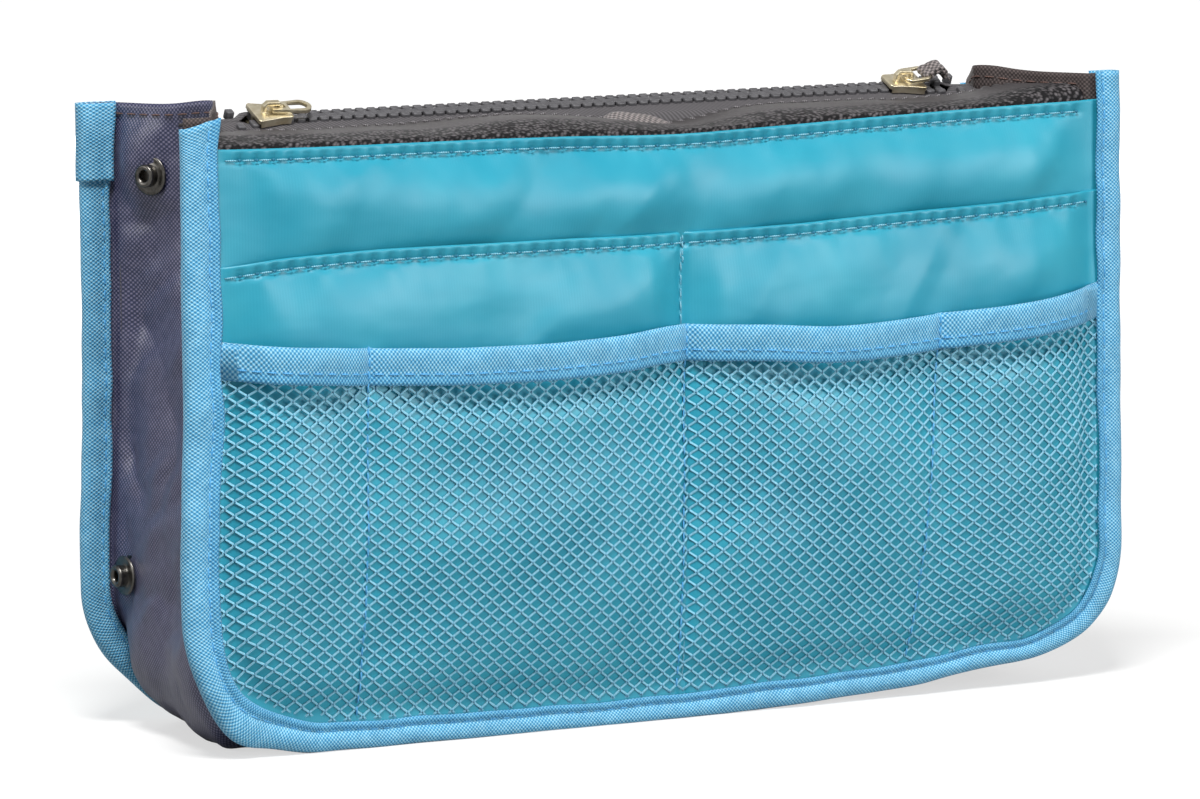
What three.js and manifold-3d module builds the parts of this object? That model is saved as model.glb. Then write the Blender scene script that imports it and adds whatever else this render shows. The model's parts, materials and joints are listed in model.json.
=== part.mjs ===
// Purse organizer insert: a soft upright pouch of sewn panels. A zip with two sliders closes its top,
// slip pockets and a net pocket lie on its faces, and press studs fold its end gussets flat.
// Millimetres. The origin is on the floor midway between the two faces, +X runs along the faces,
// the front face looks along -Y and +Z is up.
import * as THREE from "three";
import { mergeVertices } from "three/addons/utils/BufferGeometryUtils.js";
import Module from "manifold-3d";

const wasm = await Module();
wasm.setup();

// Overall body
const WIDTH = 290;
const HEIGHT = 172;
const DEPTH = 70;
const CORNER_RADIUS = 38;
const CLEARANCE = 0.3;

// Cloth plies and hems
const PANEL_PLY = 1.0;
const LINING_PLY = 0.7;
const POCKET_PLY = 0.9;
const GUSSET_PLY = 0.8;
const FACING_PLY = 0.9;
const NET_PLY = 0.8;
const BINDING_PLY = 0.9;
const HEM_HEIGHT = 5;
const HEM_EXTRA = 0.5;

// Edge binding: a tape folded round the raw edge of a face and its gusset
const BINDING_OUTER_LEG = 10;
const BINDING_INNER_LEG = 8;
const BINDING_FOLD_CHAMFER = 0.7;
const RAW_EDGE_INSET = 1.6;

// Faces and their pockets
const PANEL_BULGE = 1.6;
const PANEL_TOP_DROP = 8.4;
const PANEL_TOP_SAG = 2.8;
const POCKET_EDGE_GAP = 0.4;
const STITCH_GAP = 0.7;
const SLIP_TOP_DROP = 29;
const SLIP_TILT_HEIGHT = 3;
const SLIP_FULL_DEPTH = 4.9;
const FRONT_SLIP_SEAM = 3;
const REAR_SLIP_SEAM = 0;
const POCKET_SWELL_HEIGHT = 60;

// Net pocket and the folded trim along its mouth
const NET_TOP_DROP = 22.6;
const NET_TOP_SAG = 3.6;
const NET_FULL_DEPTH = 5.6;
const NET_SEAMS = [-95, FRONT_SLIP_SEAM, 81];
const NET_SEAM_WIDTH = 2.4;
const NET_BORDER = 2.6;
const NET_TOP_BORDER = 3.9;
const NET_CELL_WIDTH = 18.5;
const NET_CELL_HEIGHT = 16;
const NET_YARN = 1.6;
const NET_TURN_IN = 0.45;
const TRIM_HEIGHT = 10;
const TRIM_CLEARANCE = 0.5;
const TRIM_STEP = 10;

// Gussets and base
const GUSSET_TOP_DROP = 0.6;
const GUSSET_HEM_HEIGHT = 6;
const GUSSET_TURN = 9.2;
const FOLD_DEPTH = 17;
const FOLD_FULL_HEIGHT = 140;
const FOLD_LOW_DEPTH = 3;
const FOLD_LOW_HEIGHT = 42;
const BELLY_HALF_WIDTH = 20;
const WALL_START = 2.5;

// Top closure: facing strips, handles, zip tapes and the moulded chain
const FACING_TOP_DROP = 5.55;
const FACING_LIP_HEIGHT = 16;
const FACING_EDGE = 10;
const FACING_END_GAP = 1.2;
const FACING_FOLD = 1.3;
const TAPE_PLY = 0.5;
const TAPE_UNDERLAP = 8;
const CHAIN_DROP = 5;
const CHAIN_TILT = THREE.MathUtils.degToRad(25);
const CHAIN_END_GAP = 34;
const CHAIN_THICKNESS = 2.6;
const CHAIN_HALF_WIDTH = 2.6;
const BEAD_WIDTH = 0.7;
const TOOTH_PITCH = 3.5;
const TOOTH_HEAD = 0.85;
const TOOTH_NECK = 0.45;
const TOOTH_BASE = 1.0;
const TOOTH_TIP_LENGTH = 0.85;
const NECK_PLACE = 0.6;
const STOP_LENGTH = 2.2;
const HANDLE_WIDTH = 15;
const HANDLE_PLY = 1.4;
const HANDLE_HALF_SPAN = 48;
const HANDLE_INNER_EDGE = 11.5;
const HANDLE_DROP = 1;

// Sliders and pulls
const LEFT_SLIDER_GAP = 43;
const RIGHT_SLIDER_GAP = 50;
const SLIDER_LENGTH = 11;
const WING_THICKNESS = 1.2;
const SLIDER_WALL = 0.7;
const TAPE_SLOT = 1.1;
const MOUTH_PART = 1.75;
const END_PART = 2.6;
const PART_LEAD = 2;
const POST_WIDTH = 1.1;
const POST_LENGTH = 2;
const CROWN_LENGTH = 5.8;
const CROWN_WIDTH = 1.6;
const CROWN_BAR = 1.1;
const PIVOT_RISE = 1;
const PIVOT_ROOM = 0.95;
const PULL_WIRE = 1;
const PULL_EYE = 3.2;
const PULL_LENGTH = 12;
const PULL_WIDTH = 6;
const PULL_RIM = 1.2;
const RING_LENGTH = 8;
const RING_WIDTH = 7.4;
const RING_TILT = 6;
const RIBBON_WIDTH = 5;
const RIBBON_PLY = 0.9;
const RIBBON_TAIL = 4;

// Press studs: stud on the rear half of a gusset, socket on the front half
const SNAP_FLANGE_RADIUS = 5.5;
const SNAP_FLANGE = 0.7;
const SNAP_RIM = 0.25;
const STUD_RADIUS = 3.15;
const STUD_HEIGHT = 2.7;
const STUD_BORE = 1.6;
const SOCKET_RADIUS = 4.6;
const SOCKET_BORE = 3.55;
const SOCKET_HEIGHT = 1.7;
const BARREL_RADIUS = 1.5;
const CAP_THICKNESS = 1.2;
const SNAP_SIDES = 12;
const UPPER_SNAP_DROP = 20;
const UPPER_SNAP_INSET = 14;
const LOWER_SNAP_RISE = 4;
const LOWER_SNAP_INSET = 9;

// Smoothness
const CORNER_STEPS = 7;
const SHEET_STEP = 30;
const POCKET_STEP = 18;

// Places worked out from the sizes above
const HALF_WIDTH = WIDTH / 2;
const FLANGE = DEPTH / 2;
const PANEL_TOP = HEIGHT - PANEL_TOP_DROP;
const SLIP_TOP = PANEL_TOP - SLIP_TOP_DROP;
const NET_TOP = SLIP_TOP - NET_TOP_DROP;
const CHAIN_END = HALF_WIDTH - CHAIN_END_GAP;
const LEFT_SLIDER_X = LEFT_SLIDER_GAP - HALF_WIDTH;
const RIGHT_SLIDER_X = HALF_WIDTH - RIGHT_SLIDER_GAP;
const SNAP_PLACES = [
  { level: "upper", z: HEIGHT - UPPER_SNAP_DROP, y: FLANGE - UPPER_SNAP_INSET },
  { level: "lower", z: CORNER_RADIUS + LOWER_SNAP_RISE, y: FLANGE - LOWER_SNAP_INSET },
];
const POCKET_INSET = BINDING_OUTER_LEG + POCKET_EDGE_GAP;
const PANEL_FACE = FLANGE + PANEL_PLY;
const GUSSET_FLANGE = FLANGE - CLEARANCE - GUSSET_PLY / 2;
const BINDING_OUTSIDE = PANEL_FACE + CLEARANCE + BINDING_PLY;
const BINDING_INSIDE = FLANGE - CLEARANCE - GUSSET_PLY - CLEARANCE - BINDING_PLY;
const FACING_Z = HEIGHT - FACING_TOP_DROP - FACING_PLY / 2;
const TAPE_Z = FACING_Z - FACING_PLY / 2 - CLEARANCE - TAPE_PLY / 2;
const CHAIN_Z = HEIGHT - CHAIN_DROP;
const CAVITY = CHAIN_THICKNESS / 2 + CLEARANCE;
const WING_TOP = CAVITY + WING_THICKNESS;
const PIVOT_Z = WING_TOP + PIVOT_RISE;

const FRONT = -1;
const REAR = 1;

const cloth = (color, roughness = 0.8) =>
  new THREE.MeshStandardMaterial({ color, roughness, metalness: 0 });
const metal = (color, roughness) => new THREE.MeshStandardMaterial({ color, roughness, metalness: 1 });
const SATIN = cloth(0x3fb4d0, 0.45);
const BINDING_TAPE = cloth(0x5fb2e6, 0.8);
const NET_YARN_BLUE = cloth(0x8ccbe4, 0.6);
const OXFORD = cloth(0x4a4c63, 0.6);
const PEBBLED = cloth(0x4f4c4e, 0.75);
const LINING = cloth(0x55535a, 0.7);
const WEBBING = cloth(0x7c7b7a, 0.85);
const ACETAL = cloth(0x4b4a4c, 0.4);
const PALE_GOLD = metal(0xd8c9a0, 0.28);
const GUNMETAL = metal(0x5c5a56, 0.35);

const pouch = new THREE.Group();

function addMesh(name, geometry, material, parent = pouch) {
  const mesh = new THREE.Mesh(geometry, material);
  mesh.name = name;
  parent.add(mesh);
  return mesh;
}

const smooth = (t) => {
  const c = THREE.MathUtils.clamp(t, 0, 1);
  return c * c * (3 - 2 * c);
};

// Solids from points

// An indexed geometry whose faces are turned to point out of the closed body.
function closedGeometry(points, faces) {
  let volume = 0;
  for (let i = 0; i < faces.length; i += 3) {
    const [a, b, c] = [points[faces[i]], points[faces[i + 1]], points[faces[i + 2]]];
    volume += a.dot(new THREE.Vector3().crossVectors(b, c));
  }
  const index = [];
  for (let i = 0; i < faces.length; i += 3) {
    if (volume > 0) index.push(faces[i], faces[i + 1], faces[i + 2]);
    else index.push(faces[i], faces[i + 2], faces[i + 1]);
  }
  const geometry = new THREE.BufferGeometry().setFromPoints(points);
  geometry.setIndex(index);
  return geometry;
}

// A closed sheet between two grids of points of the same rows and columns.
function sheetBetween(outer, inner) {
  const rows = outer.length;
  const columns = outer[0].length;
  const points = [...outer.flat(), ...inner.flat()];
  const at = (layer, r, c) => (layer * rows + r) * columns + c;
  const faces = [];
  const quad = (a, b, c, d) => faces.push(a, b, c, a, c, d);
  for (let r = 0; r + 1 < rows; r++) {
    for (let c = 0; c + 1 < columns; c++) {
      quad(at(0, r, c), at(0, r, c + 1), at(0, r + 1, c + 1), at(0, r + 1, c));
      quad(at(1, r, c), at(1, r + 1, c), at(1, r + 1, c + 1), at(1, r, c + 1));
    }
    const last = columns - 1;
    quad(at(0, r, 0), at(0, r + 1, 0), at(1, r + 1, 0), at(1, r, 0));
    quad(at(0, r, last), at(1, r, last), at(1, r + 1, last), at(0, r + 1, last));
  }
  for (let c = 0; c + 1 < columns; c++) {
    const last = rows - 1;
    quad(at(0, 0, c), at(1, 0, c), at(1, 0, c + 1), at(0, 0, c + 1));
    quad(at(0, last, c), at(0, last, c + 1), at(1, last, c + 1), at(1, last, c));
  }
  return closedGeometry(points, faces);
}

// A closed section carried through a row of places, capped at both ends.
function sweep(section, stations) {
  const sides = section.length;
  const points = stations.flatMap((place) => section.map(place));
  const faces = [];
  for (let s = 0; s + 1 < stations.length; s++) {
    for (let k = 0; k < sides; k++) {
      const next = (k + 1) % sides;
      const a = s * sides + k;
      const b = s * sides + next;
      faces.push(a, b, b + sides, a, b + sides, a + sides);
    }
  }
  const end = (stations.length - 1) * sides;
  for (const [a, b, c] of THREE.ShapeUtils.triangulateShape(section, [])) {
    const turned = THREE.ShapeUtils.isClockWise(section) ? [a, b, c] : [a, c, b];
    faces.push(...turned);
    faces.push(end + turned[0], end + turned[2], end + turned[1]);
  }
  return closedGeometry(points, faces);
}

// A polyline moved sideways by a distance at each point, mitred at its bends.
function offsetPolyline(line, distances) {
  return line.map((point, i) => {
    const before = line[Math.max(i - 1, 0)];
    const after = line[Math.min(i + 1, line.length - 1)];
    const normals = [
      [before, point],
      [point, after],
    ]
      .filter(([a, b]) => a !== b)
      .map(([a, b]) => new THREE.Vector2(a.y - b.y, b.x - a.x).normalize());
    const middle = normals.reduce((sum, n) => sum.add(n), new THREE.Vector2()).normalize();
    return point.clone().addScaledVector(middle, distances[i] / middle.dot(normals[0]));
  });
}

// The two faces of a ply whose middle is a polyline.
const bothSides = (line, ply) => ({
  outer: offsetPolyline(line, line.map(() => ply / 2)),
  inner: offsetPolyline(line, line.map(() => -ply / 2)),
});

// A closed mesh as a solid for joining and cutting, and back again.
function toSolid(geometry) {
  const bare = geometry.index ? geometry.toNonIndexed() : geometry.clone();
  bare.deleteAttribute("normal");
  bare.deleteAttribute("uv");
  const merged = mergeVertices(bare, 1e-4);
  return new wasm.Manifold(
    new wasm.Mesh({
      numProp: 3,
      vertProperties: merged.attributes.position.array,
      triVerts: new Uint32Array(merged.index.array),
    }),
  );
}

function fromSolid(solid) {
  const mesh = solid.getMesh();
  const geometry = new THREE.BufferGeometry();
  geometry.setAttribute("position", new THREE.BufferAttribute(mesh.vertProperties, 3));
  geometry.setIndex(new THREE.BufferAttribute(mesh.triVerts, 1));
  return geometry;
}

const extrude = (shape, depth, z = 0) =>
  new THREE.ExtrudeGeometry(shape, { depth, bevelEnabled: false, curveSegments: 6 }).translate(0, 0, z);

const polygon = (points) => new THREE.Shape(points.map(([x, y]) => new THREE.Vector2(x, y)));

function holeOf(points) {
  return new THREE.Path(points.map(([x, y]) => new THREE.Vector2(x, y)));
}

// The U of a face

// Half the width of a face at a height, on the line that lies a given distance inside its outer edge.
function halfWidthAt(z, inset) {
  if (z >= CORNER_RADIUS) return HALF_WIDTH - inset;
  const radius = CORNER_RADIUS - inset;
  const below = CORNER_RADIUS - z;
  return HALF_WIDTH - CORNER_RADIUS + Math.sqrt(Math.max(radius * radius - below * below, 0));
}

// A point of a square-cornered face moved so that its lower corners become round.
function roundCorner(x, z) {
  const fromSide = HALF_WIDTH - Math.abs(x);
  if (fromSide >= CORNER_RADIUS || z >= CORNER_RADIUS) return new THREE.Vector2(x, z);
  const inset = Math.min(fromSide, z);
  const radius = CORNER_RADIUS - inset;
  const share = (CORNER_RADIUS - Math.max(fromSide, z)) / radius;
  const half = (Math.PI / 4) * share;
  const angle = z <= fromSide ? half : Math.PI / 2 - half;
  const side = HALF_WIDTH - CORNER_RADIUS + radius * Math.sin(angle);
  return new THREE.Vector2(Math.sign(x) * side, CORNER_RADIUS - radius * Math.cos(angle));
}

// Places along the U, from the top of one side round the base to the top of the other.
// Each turns a section point (inset, outward distance) into a point of one face's edge.
function edgeStations(side, top) {
  const centre = HALF_WIDTH - CORNER_RADIUS;
  const stations = [];
  const add = (place) => stations.push((p) => new THREE.Vector3(place(p.x).x, side * p.y, place(p.x).y));
  const arc = (sign, angle) => (inset) => {
    const radius = CORNER_RADIUS - inset;
    const x = sign * (centre + radius * Math.cos(angle));
    return new THREE.Vector2(x, CORNER_RADIUS - radius * Math.sin(angle));
  };
  add((inset) => new THREE.Vector2(-HALF_WIDTH + inset, top));
  for (let i = 0; i <= CORNER_STEPS; i++) add(arc(-1, (Math.PI / 2) * (i / CORNER_STEPS)));
  for (let i = CORNER_STEPS; i >= 0; i--) add(arc(1, (Math.PI / 2) * (i / CORNER_STEPS)));
  add((inset) => new THREE.Vector2(HALF_WIDTH - inset, top));
  return stations;
}

// How far each layer stands out from the middle plane

const sideLimit = (z) => halfWidthAt(Math.max(z, POCKET_INSET), POCKET_INSET);
const panelTop = (x) => PANEL_TOP - PANEL_TOP_SAG * (1 - (x / HALF_WIDTH) ** 2);
const slipTop = (x) => SLIP_TOP + (SLIP_TILT_HEIGHT * x) / HALF_WIDTH;
const netTop = (x) => NET_TOP - NET_TOP_SAG * (1 - (x / HALF_WIDTH) ** 2);

// A pillow between sewn lines: 0 on each line and 1 midway.
function pillow(x, lines, power) {
  const next = lines.findIndex((line) => line > x);
  if (next < 1) return 0;
  const [low, high] = [lines[next - 1], lines[next]];
  const t = Math.abs((2 * (x - low)) / (high - low) - 1);
  return 1 - t ** power;
}

const swell = (z) => 1 - (1 - THREE.MathUtils.clamp((z - POCKET_INSET) / POCKET_SWELL_HEIGHT, 0, 1)) ** 2;

function panelInside(x, z) {
  const limit = sideLimit(z);
  return FLANGE + PANEL_BULGE * pillow(x, [-limit, limit], 4) * swell(z);
}

function slipInside(x, z, seam) {
  const limit = sideLimit(z);
  const full = SLIP_FULL_DEPTH * pillow(x, [-limit, seam, limit], 4) * swell(z);
  return panelInside(x, z) + PANEL_PLY + STITCH_GAP + full;
}

function netInside(x, z) {
  const limit = sideLimit(z);
  const foldedTrim = TRIM_CLEARANCE + BINDING_PLY + CLEARANCE - STITCH_GAP;
  const full = NET_FULL_DEPTH * pillow(x, [-limit, ...NET_SEAMS, limit], 2) + foldedTrim;
  const slipOutside = slipInside(x, z, FRONT_SLIP_SEAM) + POCKET_PLY;
  return slipOutside + STITCH_GAP + full * swell(z);
}

// Even steps through a list of fixed lines.
function stepsThrough(lines, longest) {
  const steps = [lines[0]];
  for (let i = 1; i < lines.length; i++) {
    const count = Math.max(1, Math.ceil((lines[i] - lines[i - 1]) / longest - 1e-6));
    for (let k = 1; k <= count; k++) steps.push(THREE.MathUtils.lerp(lines[i - 1], lines[i], k / count));
  }
  return steps;
}

// A cloth ply of one face, from its rounded lower edge up to a top line, with a thicker hem.
function facePly({ side, inset, top, inside, ply, seams = [], step, hem = HEM_HEIGHT, hemExtra = 0 }) {
  const flat = BINDING_OUTER_LEG + POCKET_EDGE_GAP;
  const bend = (flat + CORNER_RADIUS) / 2;
  const edges = inset < flat ? [inset, flat, bend, CORNER_RADIUS] : [inset, bend, CORNER_RADIUS];
  const sideLines = edges.map((e) => HALF_WIDTH - e);
  const middle = [-sideLines.at(-1), ...seams, sideLines.at(-1)];
  const inner = stepsThrough(middle, step).slice(1, -1);
  const xs = [...sideLines.map((x) => -x), ...inner, ...sideLines.reverse()];
  const rise = stepsThrough([0, 1], step / (top(0) - CORNER_RADIUS));
  const rows = [
    ...edges.slice(0, -1).map((z) => () => z),
    ...rise.map((f) => (x) => CORNER_RADIUS + f * (top(x) - hem - CORNER_RADIUS)),
  ];
  if (hem > 0) rows.push((x) => top(x) - hem + HEM_EXTRA, (x) => top(x));
  const isHem = (r, x) => hem > 0 && r >= rows.length - 2 && HALF_WIDTH - Math.abs(x) > flat + CLEARANCE;
  const grid = (offset) =>
    rows.map((row, r) =>
      xs.map((x) => {
        const place = roundCorner(x, row(x));
        const out = inside(place.x, place.y) + offset * (ply + (isHem(r, x) ? hemExtra : 0));
        return new THREE.Vector3(place.x, side * out, place.y);
      }),
    );
  return sheetBetween(grid(1), grid(0));
}

// Faces: outer panel, lining and slip pocket

function buildFace(name, side, slipSeam) {
  const panel = facePly({
    side,
    inset: RAW_EDGE_INSET,
    top: panelTop,
    inside: panelInside,
    ply: PANEL_PLY,
    step: SHEET_STEP,
    hemExtra: HEM_EXTRA,
  });
  addMesh(`${name}_panel`, panel, SATIN);

  const lining = facePly({
    side,
    inset: POCKET_INSET,
    top: () => PANEL_TOP - FACING_LIP_HEIGHT - PANEL_TOP_SAG - CLEARANCE,
    inside: (x, z) => panelInside(x, z) - CLEARANCE - LINING_PLY,
    ply: LINING_PLY,
    step: SHEET_STEP,
    hem: 0,
  });
  addMesh(`${name}_lining`, lining, LINING);

  const slip = facePly({
    side,
    inset: POCKET_INSET,
    top: slipTop,
    inside: (x, z) => slipInside(x, z, slipSeam),
    ply: POCKET_PLY,
    seams: [slipSeam],
    step: POCKET_STEP,
    hemExtra: HEM_EXTRA,
  });
  addMesh(`${name}_slip_pocket`, slip, SATIN);
}

// Binding: a folded tape with a longer leg outside, carried round the U

function buildBinding(name, side) {
  const outer = BINDING_OUTSIDE;
  const inner = BINDING_INSIDE;
  const cut = BINDING_FOLD_CHAMFER;
  const section = [
    new THREE.Vector2(BINDING_OUTER_LEG, outer),
    new THREE.Vector2(cut, outer),
    new THREE.Vector2(0, outer - cut),
    new THREE.Vector2(0, inner + cut),
    new THREE.Vector2(cut, inner),
    new THREE.Vector2(BINDING_INNER_LEG, inner),
    new THREE.Vector2(BINDING_INNER_LEG, inner + BINDING_PLY),
    new THREE.Vector2(BINDING_PLY, inner + BINDING_PLY),
    new THREE.Vector2(BINDING_PLY, outer - BINDING_PLY),
    new THREE.Vector2(BINDING_OUTER_LEG, outer - BINDING_PLY),
  ];
  addMesh(`${name}_edge_binding`, sweep(section, edgeStations(side, HEIGHT)), BINDING_TAPE);
}

// Net pocket: a sheet of diamond gaps with sewn borders, shaped over the slip pocket

function netOutline(inset, top) {
  const side = HALF_WIDTH - inset;
  const radius = CORNER_RADIUS - inset;
  const shape = new THREE.Shape();
  shape.absarc(-side + radius, CORNER_RADIUS, radius, Math.PI, 1.5 * Math.PI);
  shape.absarc(side - radius, CORNER_RADIUS, radius, 1.5 * Math.PI, 2 * Math.PI);
  const lines = stepsThrough([-side, ...NET_SEAMS, side], TRIM_STEP).reverse();
  lines.forEach((x) => shape.lineTo(x, top(x)));
  return shape;
}

function netDiamonds() {
  const halfX = NET_CELL_WIDTH / 2 - NET_YARN / 2 / Math.sin(Math.atan2(NET_CELL_HEIGHT, NET_CELL_WIDTH));
  const halfZ = (halfX * NET_CELL_HEIGHT) / NET_CELL_WIDTH;
  const side = HALF_WIDTH - POCKET_INSET - NET_BORDER;
  const points = [];
  const faces = [];
  const addDiamond = (x, z) => {
    const base = points.length;
    for (const depth of [-NET_PLY, 2 * NET_PLY]) {
      points.push(new THREE.Vector3(x + halfX, z, depth), new THREE.Vector3(x, z + halfZ, depth));
      points.push(new THREE.Vector3(x - halfX, z, depth), new THREE.Vector3(x, z - halfZ, depth));
    }
    faces.push(base, base + 2, base + 1, base, base + 3, base + 2);
    faces.push(base + 4, base + 5, base + 6, base + 4, base + 6, base + 7);
    for (let k = 0; k < 4; k++) {
      const next = (k + 1) % 4;
      faces.push(base + k, base + next, base + next + 4, base + k, base + next + 4, base + k + 4);
    }
  };
  const rows = Math.ceil((2 * NET_TOP) / NET_CELL_HEIGHT);
  const columns = Math.ceil(side / NET_CELL_WIDTH);
  for (let r = 0; r <= rows; r++) {
    const shift = r % 2 ? 0.5 : 0;
    for (let c = -columns - 1; c <= columns; c++) {
      addDiamond((c + shift) * NET_CELL_WIDTH, POCKET_INSET + NET_BORDER + (r * NET_CELL_HEIGHT) / 2);
    }
  }
  return closedGeometry(points, faces);
}

const netStations = () => {
  const side = HALF_WIDTH - POCKET_INSET;
  return stepsThrough([-side, ...NET_SEAMS, side], TRIM_STEP);
};

// The net's turned-in top edge, which the trim holds.
function netTopBand() {
  const rows = [
    { drop: TRIM_HEIGHT + NET_BORDER, extra: NET_TURN_IN },
    { drop: TRIM_HEIGHT + CLEARANCE / 2, extra: NET_TURN_IN },
    { drop: TRIM_HEIGHT - BINDING_PLY, extra: 0 },
    { drop: BINDING_PLY + CLEARANCE, extra: 0 },
  ];
  const grid = (depth, sign) =>
    rows.map(({ drop, extra }) =>
      netStations().map((x) => {
        const z = netTop(x) - drop;
        return new THREE.Vector3(x, -(netInside(x, z) + depth + sign * extra), z);
      }),
    );
  return sheetBetween(grid(NET_PLY, 1), grid(0, -1));
}

function buildNet() {
  const sheetTop = (x) => netTop(x) - TRIM_HEIGHT - CLEARANCE;
  const sheet = toSolid(extrude(netOutline(POCKET_INSET, sheetTop), NET_PLY));
  const meshTop = (x) => sheetTop(x) - NET_TOP_BORDER;
  const cutDepth = 4 * NET_PLY;
  let open = toSolid(extrude(netOutline(POCKET_INSET + NET_BORDER, meshTop), cutDepth, -1.5 * NET_PLY));
  for (const seam of NET_SEAMS) {
    const strip = new THREE.BoxGeometry(NET_SEAM_WIDTH, 2 * NET_TOP, 2 * cutDepth);
    open = open.subtract(toSolid(strip.translate(seam, NET_TOP / 2, 0)));
  }
  const net = fromSolid(sheet.subtract(open.intersect(toSolid(netDiamonds()))));
  const place = net.attributes.position;
  for (let i = 0; i < place.count; i++) {
    const [x, z, depth] = [place.getX(i), place.getY(i), place.getZ(i)];
    place.setXYZ(i, x, -(netInside(x, z) + depth), z);
  }
  addMesh("front_mesh_pocket", fromSolid(toSolid(net).add(toSolid(netTopBand()))), NET_YARN_BLUE);
}

// Trim: a tape folded over the net's mouth, open downwards
function buildNetTrim() {
  const near = -TRIM_CLEARANCE;
  const far = NET_PLY + TRIM_CLEARANCE;
  const section = [
    new THREE.Vector2(near - BINDING_PLY, -TRIM_HEIGHT),
    new THREE.Vector2(near, -TRIM_HEIGHT),
    new THREE.Vector2(near, -BINDING_PLY),
    new THREE.Vector2(far, -BINDING_PLY),
    new THREE.Vector2(far, -TRIM_HEIGHT),
    new THREE.Vector2(far + BINDING_PLY, -TRIM_HEIGHT),
    new THREE.Vector2(far + BINDING_PLY, -BINDING_FOLD_CHAMFER),
    new THREE.Vector2(far + BINDING_PLY - BINDING_FOLD_CHAMFER, 0),
    new THREE.Vector2(near - BINDING_PLY + BINDING_FOLD_CHAMFER, 0),
    new THREE.Vector2(near - BINDING_PLY, -BINDING_FOLD_CHAMFER),
  ];
  const stations = netStations().map((x) => {
    const out = netInside(x, netTop(x) - TRIM_HEIGHT / 2);
    return (p) => new THREE.Vector3(x, -(out + p.x), netTop(x) + p.y);
  });
  addMesh("front_mesh_trim", sweep(section, stations), BINDING_TAPE);
}

// Gussets and base: one cross-section from flange to flange, folded inwards at the top of the ends
// and bellied down to the floor along the base

const foldDepth = (z) =>
  FOLD_LOW_DEPTH +
  (FOLD_DEPTH - FOLD_LOW_DEPTH) * smooth((z - FOLD_LOW_HEIGHT) / (FOLD_FULL_HEIGHT - FOLD_LOW_HEIGHT));

const foldShare = (y) => 1 - Math.abs(y) / GUSSET_FLANGE;

// belly goes from 0 on an end wall to 1 on the base
function gussetSection(fold, belly, extra) {
  const bellyDepth = GUSSET_PLY / 2 - GUSSET_TURN;
  const depth = (y) => THREE.MathUtils.lerp(fold * foldShare(y), bellyDepth, belly);
  const wall = GUSSET_FLANGE - WALL_START;
  const half = [
    new THREE.Vector2(RAW_EDGE_INSET, GUSSET_FLANGE),
    new THREE.Vector2(GUSSET_TURN, GUSSET_FLANGE),
    new THREE.Vector2(GUSSET_TURN + fold * foldShare(wall) * (1 - belly), wall),
    new THREE.Vector2(GUSSET_TURN + depth(BELLY_HALF_WIDTH), BELLY_HALF_WIDTH),
  ];
  const middle = new THREE.Vector2(GUSSET_TURN + depth(0), 0);
  const mirrored = half.map((p) => new THREE.Vector2(p.x, -p.y)).reverse();
  const line = [...half, middle, ...mirrored];
  const sides = line.map((p) => GUSSET_PLY / 2 + (Math.abs(p.y) < GUSSET_FLANGE ? extra / 2 : 0));
  return {
    outer: offsetPolyline(line, sides),
    inner: offsetPolyline(line, sides.map((d) => -d)),
  };
}

function gussetSheet(stations) {
  const layer = (which) =>
    stations.map(({ section, place }) =>
      section[which].map((p) => {
        const spot = place(p.x);
        return new THREE.Vector3(spot.x, p.y, spot.y);
      }),
    );
  return sheetBetween(layer("outer"), layer("inner"));
}

const snapSpot = (sign, place, half) => {
  const fold = foldDepth(place.z);
  const x = sign * (HALF_WIDTH - GUSSET_TURN - fold * foldShare(place.y));
  const outward = new THREE.Vector3(sign * GUSSET_FLANGE, -half * fold, 0).normalize();
  return { point: new THREE.Vector3(x, half * place.y, place.z), outward };
};

function alongAxis(object, spot) {
  object.position.copy(spot.point);
  object.quaternion.setFromUnitVectors(new THREE.Vector3(0, 1, 0), spot.outward);
  return object;
}

function buildGusset(name, sign) {
  const top = HEIGHT - GUSSET_TOP_DROP;
  const hem = top - GUSSET_HEM_HEIGHT;
  const heights = stepsThrough([CORNER_RADIUS, FOLD_FULL_HEIGHT], SHEET_STEP / 2).reverse();
  const wall = [
    { z: top, extra: HEM_EXTRA },
    { z: hem, extra: HEM_EXTRA },
    { z: hem - HEM_EXTRA, extra: 0 },
    ...heights.map((z) => ({ z, extra: 0 })),
  ];
  const stations = wall.map(({ z, extra }) => ({
    section: gussetSection(foldDepth(z), 0, extra),
    place: (inset) => new THREE.Vector2(sign * (HALF_WIDTH - inset), z),
  }));
  const endAngle = Math.PI / 2 - CLEARANCE / CORNER_RADIUS;
  for (let i = 1; i <= CORNER_STEPS; i++) {
    const angle = endAngle * (i / CORNER_STEPS);
    stations.push({
      section: gussetSection(FOLD_LOW_DEPTH, smooth(i / CORNER_STEPS), 0),
      place: (inset) => {
        const radius = CORNER_RADIUS - inset;
        const x = HALF_WIDTH - CORNER_RADIUS + radius * Math.cos(angle);
        return new THREE.Vector2(sign * x, CORNER_RADIUS - radius * Math.sin(angle));
      },
    });
  }
  let solid = toSolid(gussetSheet(stations));
  for (const place of SNAP_PLACES) {
    for (const half of [FRONT, REAR]) {
      const drill = new THREE.CylinderGeometry(
        BARREL_RADIUS + CLEARANCE,
        BARREL_RADIUS + CLEARANCE,
        SNAP_FLANGE_RADIUS,
        SNAP_SIDES,
      );
      const holder = alongAxis(new THREE.Object3D(), snapSpot(sign, place, half));
      holder.updateMatrix();
      solid = solid.subtract(toSolid(drill.applyMatrix4(holder.matrix)));
    }
  }
  addMesh(`${name}_gusset`, fromSolid(solid), OXFORD);
}

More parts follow.
